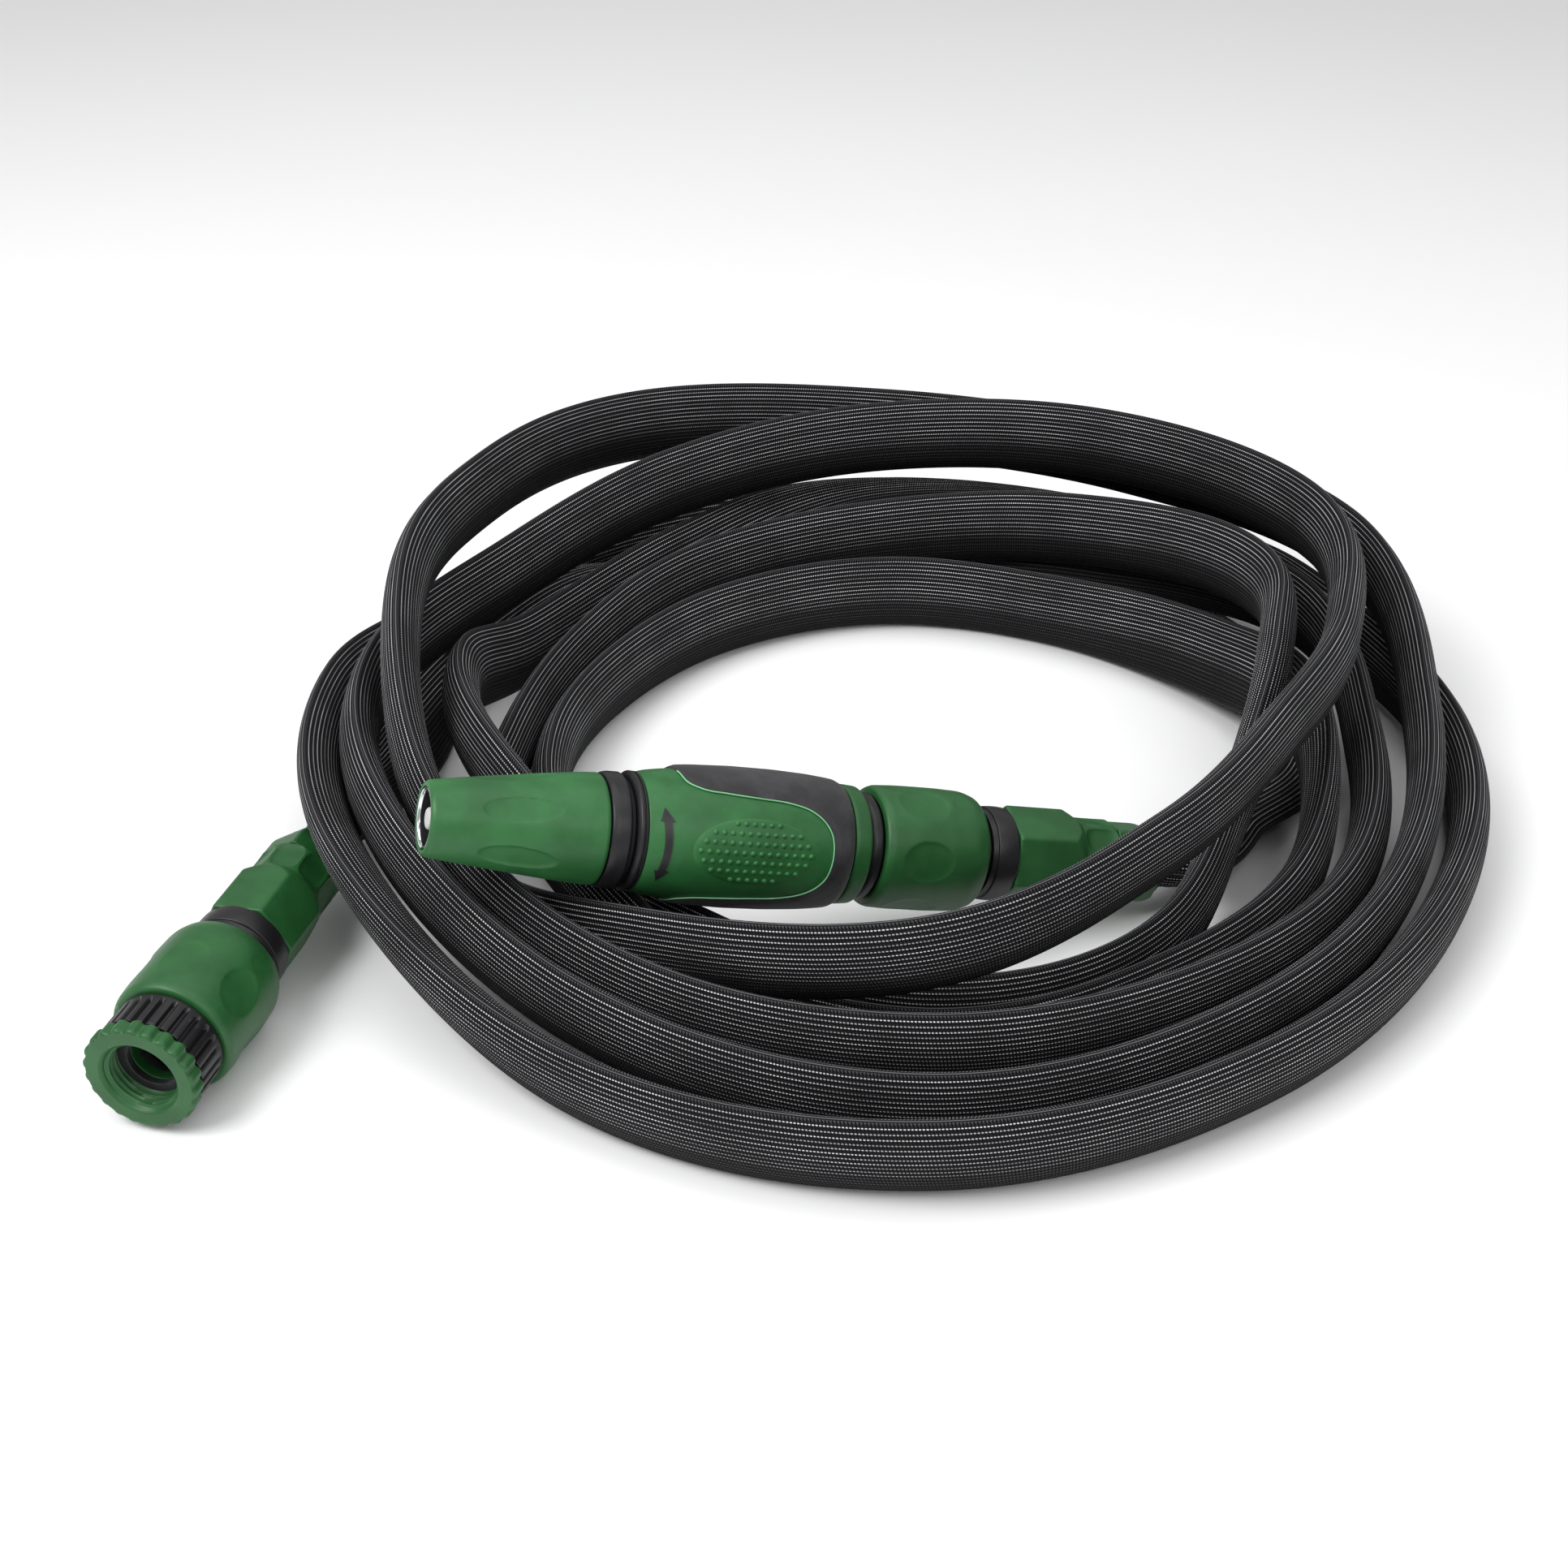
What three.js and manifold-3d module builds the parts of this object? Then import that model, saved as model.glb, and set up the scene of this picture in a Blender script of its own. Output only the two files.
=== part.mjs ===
// Expandable flat garden hose, loosely coiled, with a tap connector on one end
// and a quick connector with a twist spray nozzle on the other end.
// Millimetres, +Z up. The tap connector's axis runs along +Y, its mouth faces -Y.

import * as THREE from 'three';
import { mergeVertices } from 'three/addons/utils/BufferGeometryUtils.js';
import Module from 'manifold-3d';

// ---------------------------------------------------------------- dimensions

const GAP = 0.3;
const ROUND_SIDES = 24;
const HIDDEN_SIDES = 16;

// where the fittings lie
const TAP_MOUTH = new THREE.Vector3(-115.1, -87.9, 17.6);
const NOZZLE_TIP = new THREE.Vector3(-54.9, -30.8, 71.5);
const NOZZLE_HEADING = 31.3;
const NOZZLE_DIP = 15;
const GRIP_PANEL_LIFT = 17.8;

// quick connector, used on both ends; lengths are measured from the sleeve's front
const SLEEVE_RADIUS = 17.6;
const SLEEVE_BORE = 14.4;
const SLEEVE_LENGTH = 32.5;
const SLEEVE_RIDGE_BORE = 13.5;
const SLEEVE_RIDGE_FRONT = 5;
const SLEEVE_RIDGE_BACK = 9;
const BODY_FRONT = 2.5;
const BODY_RADIUS = 11.2;
const BODY_BORE = 9.3;
const BODY_BORE_END = 22;
const SHOULDER_RADIUS = 14;
const SHOULDER_FRONT = 26;
const SHOULDER_BACK = 29;
const COLLAR_RADIUS = 13.5;
const COLLAR_FRONT = 35;
const COLLAR_BACK = 43;
const BARB_RADIUS = 6;
const BARB_END = 78;
const WATERWAY = 4.3;
const JAW_COUNT = 3;
const JAW_FRONT = 5.1;
const JAW_LENGTH = 3;
const JAW_WIDTH = 5.6;
const JAW_INNER = 7.9;
const JAW_OUTER = 11.6;
const NUT_HALF_FLATS = 12.6;
const NUT_CHAMFER = 1.2;
const NUT_TAPER = 4.3;
const NUT_TAPER_DROP = 3;
const NUT_BACK = 65.7;
const NECK_RADIUS = 12;
const NUT_BORE = 10.5;
const GUARD_RADIUS = 12;
const GUARD_END_RADIUS = 10.8;
const GUARD_TAPER = 3;
const GUARD_BORE = 8.5;
const SPRING_RADIUS = 13.2;
const SPRING_WIRE = 0.55;
const SPRING_TURNS = 5;
const LINER_RADIUS = 7.6;
const LINER_FRONT = 48;
const LINER_BACK = 77;
const COLLET_RADIUS = 10.2;
const COLLET_BORE = 7.9;
const COLLET_FRONT = 50;
const COLLET_BACK = 66;

// male snout that plugs into a quick connector
const SNOUT_RADIUS = 9;
const SNOUT_GROOVE = 7.6;
const SNOUT_BORE = 4.6;
const SNOUT_LENGTH = 20.5;
const RING_MIDDLE = 16;
const RING_GROOVE = 6.9;
const RING_GROOVE_WIDTH = 2.6;

// tap end, measured from the mouth
const REDUCER_RADIUS = 16;
const REDUCER_FLANGE = 5;
const REDUCER_BORE = 10.4;
const REDUCER_THREAD = 13;
const REDUCER_SEAT = 9.5;
const REDUCER_END = 12.5;
const WASHER_HOLE = 7;
const ADAPTOR_RADIUS = 15.3;
const ADAPTOR_BORE = 13.3;
const ADAPTOR_SEAT = 15.1;
const ADAPTOR_BACK = 17;
const TAP_SLEEVE_FRONT = 17.3;
const TAP_GUARD_END = 106;

// nozzle, measured from its tip
const TIP_RING_RADIUS = 8.15;
const TIP_RING_BORE = 6.6;
const TIP_RING_PROUD = 0.6;
const TIP_SEAT = 4.3;
const WATER_SEAT_RADIUS = 4.2;
const BARREL_BORE = 11.6;
const BARREL_END = 46.7;
const BARREL_RADIUS = 15.2;
const BARREL_SEAL_MIDDLE = 28.8;
const BARREL_SEAL_GROOVE = 12.6;
const BARREL_SEAL_WIDTH = 2.8;
const SEAL_FIT = 0.05;
const NECK_TUBE_RADIUS = 11.3;
const NECK_TUBE_BORE = 9;
const NECK_TUBE_FRONT = 26;
const NECK_TUBE_END = 56.5;
const SEAT_RING_RADIUS = 15.8;
const SEAT_RING_END = 53.7;
const FLANGE_RADIUS = 16.35;
const GRIP_FRONT = 56.8;
const GRIP_BACK = 116.2;
const GRIP_BORE = 8;
const REAR_RING_RADIUS = 16.9;
const REAR_RING_END = 121.8;
const SNOUT_SHOULDER = 15.2;
const GRIP_REACH = 24;
const OVERMOULD_THICKNESS = 1;
const OVERMOULD_FRONT = 66.5;
const OVERMOULD_BACK = 115.8;
const PAD_THICKNESS = 0.7;
const ARROW_THICKNESS = 0.6;
const NOZZLE_SLEEVE_FRONT = 126.2;
const NOZZLE_GUARD_END = 220;

// hose: a flat woven tube, held as a lens with pointed selvedges
const HOSE_WIDTH = 28;
const HOSE_THICKNESS = 12;
const COIL_CENTRE = new THREE.Vector3(42.6, 118.9, 0);
const COIL_ZERO = 14;

// The loose coil, clockwise from the tap end to the nozzle end, twelve stations
// to the turn: azimuth, radius, height of the middle of the hose, and how far
// its width leans outwards from upright (90 lies flat).
const COIL = [
  // from the tap connector, low under the outer turns
  [180, 166, 9, 80], [150, 166, 14, 10], [120, 170, 8, 88],
  [90, 158, 7.5, 90], [60, 150, 24, 30], [30, 164, 29, 0],
  // first full turn, climbing over the left side
  [0, 150, 20, 0], [330, 148.5, 17, 5], [300, 152, 22, 10],
  [270, 161.5, 27, 12], [240, 158.6, 28.5, 8], [210, 157.2, 42, 0],
  [180, 154.5, 71, 0], [150, 165, 70.5, 0], [120, 190, 62, 0],
  [90, 186, 55, 0], [60, 187, 50, 0], [30, 188, 46, 0],
  // second turn, outside the first at the front
  [0, 167, 30, 0], [330, 162, 20, 5], [300, 165.5, 18, 10],
  [270, 174, 18, 12], [240, 170.8, 24, 10], [210, 170.2, 40, 0],
  [180, 166.7, 43, 0], [150, 154.5, 43, 0], [120, 156, 52, 0],
  [90, 167, 57, 0], [60, 169, 62, 0], [30, 167, 61, 0],
  // third turn, highest at the front
  [0, 137, 60, 0], [330, 120, 58, 5], [300, 128, 55, 10],
  [270, 150, 49, 12], [240, 145.1, 33, 10], [210, 144.3, 14, 0],
  [180, 125, 16, 0], [150, 124, 19, 0], [120, 137, 22, 0],
  [90, 143, 28, 0], [60, 140, 40, 0], [30, 141, 48, 0],
  // fourth turn, the innermost
  [0, 117, 52, 0], [330, 110, 26, 0], [300, 126, 15, 0],
  [270, 133, 15, 0], [240, 118, 15, 0], [210, 116.5, 15, 0],
  [180, 111, 15, 0], [150, 109, 15, 0], [120, 115, 15, 0],
  [90, 121, 15, 0], [60, 122, 15, 0], [30, 128, 18.5, 25],
  // fifth turn, opening outwards to the right
  [0, 130, 31, 10], [330, 135, 16, 0], [300, 138.7, 15, 0],
  [270, 147, 15, 0], [240, 131.2, 15, 0], [210, 132.3, 43, 0],
  [180, 139, 41.5, 0], [150, 146, 17, 0], [120, 151, 23, 8],
  [90, 172, 27.5, 70], [60, 184, 24, 85], [30, 186.5, 14.5, 10],
  // last turn, the outermost, which hops over the tap end's hose
  [0, 181, 14, 5], [330, 175, 14, 8], [300, 178.5, 14, 10],
  [270, 187, 14, 12], [240, 184, 14, 14], [210, 183, 35, 25],
  [180, 180, 34, 8], [150, 184, 15, 0], [120, 190.5, 14, 5],
  [90, 187, 11, 60], [60, 169, 7, 90], [30, 149, 7, 90],
  [0, 124, 7, 90], [345, 104, 9, 90],
];

// ---------------------------------------------------------------- materials

const GREEN = { color: 0x2f6b3c, roughness: 0.42, metalness: 0 };
const BLACK = { color: 0x1c1c20, roughness: 0.5, metalness: 0 };
const RUBBER = { color: 0x141416, roughness: 0.85, metalness: 0 };
const CHROME = { color: 0xcfd2d4, roughness: 0.12, metalness: 1 };
const STEEL = { color: 0x9a9da0, roughness: 0.35, metalness: 1 };
const GREY = { color: 0xb4b5b2, roughness: 0.45, metalness: 0 };
const LATEX = { color: 0xcabf9c, roughness: 0.7, metalness: 0 };
const WOVEN = { color: 0x38383b, roughness: 0.92, metalness: 0 };

// ---------------------------------------------------------------- helpers

const wasm = await Module();
wasm.setup();

function radians(degrees) {
  return THREE.MathUtils.degToRad(degrees);
}

function named(name, geometry, look) {
  const mesh = new THREE.Mesh(geometry, new THREE.MeshStandardMaterial(look));
  mesh.name = name;
  return mesh;
}

// A turned piece about +Y. A profile is a list of [radius, station]; it either
// starts and ends on the axis or is closed back to its first point.
function turned(profile, sides = ROUND_SIDES) {
  const points = profile.map(([radius, station]) => new THREE.Vector2(radius, station));
  if (THREE.ShapeUtils.area(points) < 0) {
    points.reverse();
  }
  const onAxis = points[0].x === 0 && points[points.length - 1].x === 0;
  if (!onAxis) {
    points.push(points[0].clone());
  }
  return new THREE.LatheGeometry(points, sides);
}

function tube(inner, outer, start, end, sides = HIDDEN_SIDES) {
  return turned([[inner, start], [outer, start], [outer, end], [inner, end]], sides);
}

// A seal ring of round section about +Y.
function sealRing(inner, outer, middle) {
  const section = (outer - inner) / 2;
  const sectionSides = 6;
  const profile = [];
  for (let i = 0; i < sectionSides; i += 1) {
    const angle = (2 * Math.PI * i) / sectionSides;
    profile.push([inner + section + section * Math.cos(angle), middle + section * Math.sin(angle)]);
  }
  return turned(profile, HIDDEN_SIDES);
}

function toSolid(geometry) {
  const bare = geometry.clone();
  bare.deleteAttribute('normal');
  bare.deleteAttribute('uv');
  const merged = mergeVertices(bare, 1e-4);
  return new wasm.Manifold(new wasm.Mesh({
    numProp: 3,
    vertProperties: new Float32Array(merged.attributes.position.array),
    triVerts: new Uint32Array(merged.index.array),
  }));
}

function toGeometry(solid) {
  const mesh = solid.getMesh();
  const geometry = new THREE.BufferGeometry();
  geometry.setAttribute('position', new THREE.BufferAttribute(mesh.vertProperties, 3));
  geometry.setIndex(new THREE.BufferAttribute(mesh.triVerts, 1));
  geometry.computeVertexNormals();
  return geometry;
}

function cut(geometry, ...tools) {
  return toGeometry(tools.reduce((solid, tool) => solid.subtract(toSolid(tool)), toSolid(geometry)));
}

function join(...geometries) {
  return toGeometry(geometries.map(toSolid).reduce((sum, solid) => sum.add(solid)));
}

// ---------------------------------------------------------------- quick connector

// The outline of a male snout, from its root at the front of the sleeve.
function snoutOutline(front) {
  return [
    [SNOUT_RADIUS, front + 4.7],
    [SNOUT_GROOVE, front + 4.7],
    [SNOUT_GROOVE, front + 8.7],
    [SNOUT_RADIUS, front + 9.2],
    [SNOUT_RADIUS, front + RING_MIDDLE - RING_GROOVE_WIDTH / 2],
    [RING_GROOVE, front + RING_MIDDLE - RING_GROOVE_WIDTH / 2],
    [RING_GROOVE, front + RING_MIDDLE + RING_GROOVE_WIDTH / 2],
    [SNOUT_RADIUS, front + RING_MIDDLE + RING_GROOVE_WIDTH / 2],
    [SNOUT_RADIUS, front + SNOUT_LENGTH - 1],
    [SNOUT_RADIUS - 1, front + SNOUT_LENGTH],
    [SNOUT_BORE, front + SNOUT_LENGTH],
  ];
}

function snoutRing(front) {
  return sealRing(RING_GROOVE + GAP, SNOUT_RADIUS, front + RING_MIDDLE);
}

function releaseSleeve(front) {
  return turned([
    [SLEEVE_BORE, front],
    [SLEEVE_RADIUS - 1.2, front],
    [SLEEVE_RADIUS - 0.4, front + 1.2],
    [SLEEVE_RADIUS, front + 9],
    [SLEEVE_RADIUS, front + 20],
    [SLEEVE_RADIUS - 0.4, front + 26],
    [SLEEVE_RADIUS - 1, front + SLEEVE_LENGTH - 2.5],
    [SLEEVE_RADIUS - 2, front + SLEEVE_LENGTH],
    [SLEEVE_BORE, front + SLEEVE_LENGTH],
    [SLEEVE_BORE, front + SLEEVE_RIDGE_BACK],
    [SLEEVE_RIDGE_BORE, front + SLEEVE_RIDGE_BACK],
    [SLEEVE_RIDGE_BORE, front + SLEEVE_RIDGE_FRONT],
    [SLEEVE_BORE, front + SLEEVE_RIDGE_FRONT],
  ]);
}

function connectorBody(front) {
  const core = turned([
    [BODY_BORE, front + BODY_FRONT],
    [BODY_RADIUS, front + BODY_FRONT],
    [BODY_RADIUS, front + SHOULDER_FRONT],
    [SHOULDER_RADIUS, front + SHOULDER_FRONT],
    [SHOULDER_RADIUS, front + SHOULDER_BACK],
    [BODY_RADIUS, front + SHOULDER_BACK],
    [BODY_RADIUS, front + COLLAR_FRONT],
    [COLLAR_RADIUS, front + COLLAR_FRONT],
    [COLLAR_RADIUS, front + COLLAR_BACK],
    [BARB_RADIUS, front + COLLAR_BACK],
    [BARB_RADIUS, front + BARB_END],
    [WATERWAY, front + BARB_END],
    [WATERWAY, front + BODY_BORE_END],
    [BODY_BORE, front + BODY_BORE_END],
  ]);
  const windows = [];
  for (let i = 0; i < JAW_COUNT; i += 1) {
    windows.push(jawBlock(front, i, JAW_INNER - 1, JAW_OUTER + 1, GAP));
  }
  return cut(core, ...windows);
}

// A block through the body's wall, for a jaw or for the window that it slides in.
function jawBlock(front, index, inner, outer, clearance) {
  const width = JAW_WIDTH + 2 * clearance;
  const length = JAW_LENGTH + 2 * clearance;
  const block = new THREE.BoxGeometry(width, length, outer - inner);
  block.translate(0, front + JAW_FRONT + JAW_LENGTH / 2, (inner + outer) / 2);
  block.rotateY((2 * Math.PI * index) / JAW_COUNT);
  return block;
}

class SpringPath extends THREE.Curve {
  constructor(radius, start, end, turns) {
    super();
    this.radius = radius;
    this.start = start;
    this.end = end;
    this.turns = turns;
  }

  getPoint(t, target = new THREE.Vector3()) {
    const angle = 2 * Math.PI * this.turns * t;
    const height = this.start + (this.end - this.start) * t;
    return target.set(this.radius * Math.cos(angle), height, this.radius * Math.sin(angle));
  }
}

function polygonShape(radius, sides) {
  const points = [];
  for (let i = 0; i < sides; i += 1) {
    const angle = (2 * Math.PI * i) / sides;
    points.push(new THREE.Vector2(radius * Math.cos(angle), radius * Math.sin(angle)));
  }
  return new THREE.Shape(points);
}

function sleeveSpring(front) {
  const wireSides = 5;
  const stepsPerTurn = 11;
  const start = front + SLEEVE_RIDGE_BACK + GAP + SPRING_WIRE;
  const end = front + SHOULDER_FRONT - GAP - SPRING_WIRE;
  const extrudePath = new SpringPath(SPRING_RADIUS, start, end, SPRING_TURNS);
  const steps = SPRING_TURNS * stepsPerTurn;
  return new THREE.ExtrudeGeometry(polygonShape(SPRING_WIRE, wireSides), { steps, extrudePath });
}

// Hexagonal clamping nut, tapered at the back into a round neck, bored through.
function hoseNut(front) {
  const flats = 6;
  const rough = NUT_BORE - 1;
  const cornerRadius = NUT_HALF_FLATS / Math.cos(Math.PI / flats);
  const start = front + COLLAR_BACK + GAP;
  const back = front + NUT_BACK;
  const hexagon = turned([
    [rough, start],
    [cornerRadius - NUT_CHAMFER, start],
    [cornerRadius, start + NUT_CHAMFER],
    [cornerRadius, back - NUT_TAPER],
    [cornerRadius - NUT_TAPER_DROP, back],
    [rough, back],
  ], flats);
  const neck = tube(rough, NECK_RADIUS, back - NUT_TAPER, front + BARB_END, ROUND_SIDES);
  const bore = new THREE.CylinderGeometry(NUT_BORE, NUT_BORE, BARB_END, ROUND_SIDES);
  bore.translate(0, front + (COLLAR_BACK + BARB_END) / 2, 0);
  return cut(join(hexagon, neck), bore);
}

// Hexagonal tail that guards the hose where it leaves the nut.
function hoseGuard(front, end) {
  const start = front + BARB_END + GAP;
  return turned([
    [GUARD_BORE, start],
    [GUARD_RADIUS, start],
    [GUARD_RADIUS, end - GUARD_TAPER],
    [GUARD_END_RADIUS, end],
    [GUARD_BORE, end],
  ], 6);
}

// A whole quick connector about +Y with the front of its sleeve at a station.
function quickConnector(prefix, front, guardEnd) {
  const group = new THREE.Group();
  group.add(named(`${prefix}_release_sleeve`, releaseSleeve(front), GREEN));
  group.add(named(`${prefix}_connector_body`, connectorBody(front), BLACK));
  for (let i = 0; i < JAW_COUNT; i += 1) {
    const jaw = jawBlock(front, i, JAW_INNER, JAW_OUTER, 0);
    group.add(named(`${prefix}_lock_jaw_${i + 1}`, jaw, BLACK));
  }
  group.add(named(`${prefix}_sleeve_spring`, sleeveSpring(front), STEEL));
  const liner = tube(BARB_RADIUS + GAP, LINER_RADIUS, front + LINER_FRONT, front + LINER_BACK);
  group.add(named(`${prefix}_liner_tube`, liner, LATEX));
  const collet = tube(COLLET_BORE, COLLET_RADIUS, front + COLLET_FRONT, front + COLLET_BACK);
  group.add(named(`${prefix}_clamp_collet`, collet, BLACK));
  group.add(named(`${prefix}_hose_nut`, hoseNut(front), GREEN));
  group.add(named(`${prefix}_hose_guard`, hoseGuard(front, guardEnd), GREEN));
  return group;
}

// ---------------------------------------------------------------- tap end

function tapReducer() {
  return turned([
    [REDUCER_BORE, 0],
    [REDUCER_RADIUS - 0.5, 0],
    [REDUCER_RADIUS, 0.5],
    [REDUCER_RADIUS, REDUCER_FLANGE],
    [REDUCER_THREAD, REDUCER_FLANGE],
    [REDUCER_THREAD, REDUCER_END],
    [WASHER_HOLE, REDUCER_END],
    [WASHER_HOLE, REDUCER_SEAT],
    [REDUCER_BORE, REDUCER_SEAT],
  ]);
}

function tapAdaptor() {
  return turned([
    [ADAPTOR_BORE, REDUCER_FLANGE + GAP],
    [ADAPTOR_RADIUS, REDUCER_FLANGE + GAP],
    [ADAPTOR_RADIUS, ADAPTOR_BACK],
    [SNOUT_RADIUS, ADAPTOR_BACK],
    ...snoutOutline(TAP_SLEEVE_FRONT),
    [SNOUT_BORE, ADAPTOR_SEAT],
    [ADAPTOR_BORE, ADAPTOR_SEAT],
  ]);
}

function tapEnd() {
  const washerThickness = 2;
  const reducerWasherStart = REDUCER_SEAT - GAP - washerThickness;
  const adaptorWasherStart = ADAPTOR_SEAT - GAP - washerThickness;
  const group = quickConnector('tap', TAP_SLEEVE_FRONT, TAP_GUARD_END);
  group.add(named('tap_reducer_ring', tapReducer(), GREEN));
  group.add(named('tap_reducer_washer',
    tube(WASHER_HOLE, REDUCER_BORE - GAP, reducerWasherStart, reducerWasherStart + washerThickness), RUBBER));
  group.add(named('tap_adaptor', tapAdaptor(), BLACK));
  group.add(named('tap_adaptor_washer',
    tube(WASHER_HOLE, ADAPTOR_BORE - GAP, adaptorWasherStart, adaptorWasherStart + washerThickness), RUBBER));
  group.add(named('tap_snout_seal', snoutRing(TAP_SLEEVE_FRONT), RUBBER));
  group.position.copy(TAP_MOUTH);
  return group;
}

// ---------------------------------------------------------------- nozzle

const GRIP_OUTLINE = [
  [15.9, GRIP_FRONT], [16.6, GRIP_FRONT + 1.2], [17.5, 64], [18.2, 72], [18.6, 84],
  [18.5, 96], [18, 106], [17.3, 113], [16.7, GRIP_BACK],
];

function gripShell(lift) {
  return GRIP_OUTLINE.map(([radius, station]) => [radius + lift, station]);
}

function gripBody() {
  return turned([[GRIP_BORE, GRIP_FRONT], ...gripShell(0), [GRIP_BORE, GRIP_BACK]]);
}

// A thin skin all round the grip between two stations.
function gripSkin(thickness, front, back) {
  const inside = [[1, GRIP_FRONT], ...gripShell(GAP), [1, GRIP_BACK]];
  const outside = [[0.5, GRIP_FRONT - 1], ...gripShell(GAP + thickness), [0.5, GRIP_BACK + 1]];
  const skin = toSolid(turned(outside)).subtract(toSolid(turned(inside)));
  const band = toSolid(tube(GRIP_BORE, GRIP_REACH, front, back));
  return skin.intersect(band);
}

// A prism that stands on the grip's face over an outline drawn on that face.
function facePrism(shape) {
  const prism = new THREE.ExtrudeGeometry(shape, { depth: GRIP_REACH, bevelEnabled: false, curveSegments: 8 });
  prism.translate(0, 0, 4);
  return toSolid(prism);
}

// A thin moulded patch that follows the grip, inside an outline drawn on its face.
function gripPatch(shape, thickness) {
  const skin = gripSkin(thickness, GRIP_FRONT - 1, GRIP_BACK + 1);
  return toGeometry(skin.intersect(facePrism(shape)));
}

// The soft overmould wraps the grip and leaves a tongue-shaped window on its face.
function softOvermould() {
  const skin = gripSkin(OVERMOULD_THICKNESS, OVERMOULD_FRONT, OVERMOULD_BACK);
  return toGeometry(skin.subtract(facePrism(windowShape())));
}

function windowShape() {
  const before = OVERMOULD_FRONT - 3;
  const mouth = GRIP_REACH - 1;
  const waist = 15.3;
  const waistStation = 69;
  const bend = 13.3;
  const bendStation = 97;
  const tip = 109.4;
  const shape = new THREE.Shape();
  shape.moveTo(mouth, before);
  shape.lineTo(waist, waistStation);
  shape.lineTo(bend, bendStation);
  shape.quadraticCurveTo(bend - 1.5, tip, 0, tip);
  shape.quadraticCurveTo(1.5 - bend, tip, -bend, bendStation);
  shape.lineTo(-waist, waistStation);
  shape.lineTo(-mouth, before);
  return shape;
}

function thumbPadShape() {
  const middle = 86.8;
  const halfLength = 18.3;
  const halfWidth = 9.6;
  const shape = new THREE.Shape();
  shape.absellipse(0, middle, halfWidth, halfLength, 0, 2 * Math.PI, false, 0);
  return shape;
}

// A double-headed arrow across the grip that shows which way the barrel turns.
function arrowShape() {
  const middle = 61.9;
  const halfShaft = 1;
  const halfHead = 2;
  const neck = 7.5;
  const tip = 10.5;
  return new THREE.Shape([
    new THREE.Vector2(tip, middle),
    new THREE.Vector2(neck, middle + halfHead),
    new THREE.Vector2(neck, middle + halfShaft),
    new THREE.Vector2(-neck, middle + halfShaft),
    new THREE.Vector2(-neck, middle + halfHead),
    new THREE.Vector2(-tip, middle),
    new THREE.Vector2(-neck, middle - halfHead),
    new THREE.Vector2(-neck, middle - halfShaft),
    new THREE.Vector2(neck, middle - halfShaft),
    new THREE.Vector2(neck, middle - halfHead),
  ]);
}

function nozzleBarrel() {
  const grooveFront = BARREL_SEAL_MIDDLE - BARREL_SEAL_WIDTH / 2;
  const grooveBack = BARREL_SEAL_MIDDLE + BARREL_SEAL_WIDTH / 2;
  return turned([
    [TIP_RING_RADIUS + GAP, 0],
    [9.4, 0],
    [9.9, 0.6],
    [11.8, 14],
    [13.8, 30],
    [BARREL_RADIUS - 0.1, 42],
    [BARREL_RADIUS, BARREL_END - 0.6],
    [BARREL_RADIUS - 0.6, BARREL_END],
    [BARREL_BORE, BARREL_END],
    [BARREL_BORE, grooveBack],
    [BARREL_SEAL_GROOVE, grooveBack],
    [BARREL_SEAL_GROOVE, grooveFront],
    [BARREL_BORE, grooveFront],
    [BARREL_BORE, 25],
    [10.4, 22],
    [8, 11],
    [WATER_SEAT_RADIUS, 9],
    [WATER_SEAT_RADIUS, TIP_SEAT],
    [TIP_RING_RADIUS + GAP, TIP_SEAT],
  ]);
}

function nozzleStem() {
  return turned([
    [0, 1.2], [1.5, 1.2], [1.7, 2], [1.7, 4.6], [3.8, 6.2], [3.8, 10], [2.4, 12],
    [2.4, 30], [8.7, 31], [8.7, 34], [0, 34],
  ], HIDDEN_SIDES);
}

function nozzleSnout() {
  return turned([
    [SNOUT_BORE, REAR_RING_END + GAP],
    [SNOUT_SHOULDER, REAR_RING_END + GAP],
    [SNOUT_SHOULDER, NOZZLE_SLEEVE_FRONT - GAP],
    [SNOUT_RADIUS, NOZZLE_SLEEVE_FRONT - GAP],
    ...snoutOutline(NOZZLE_SLEEVE_FRONT),
  ]);
}

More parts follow.
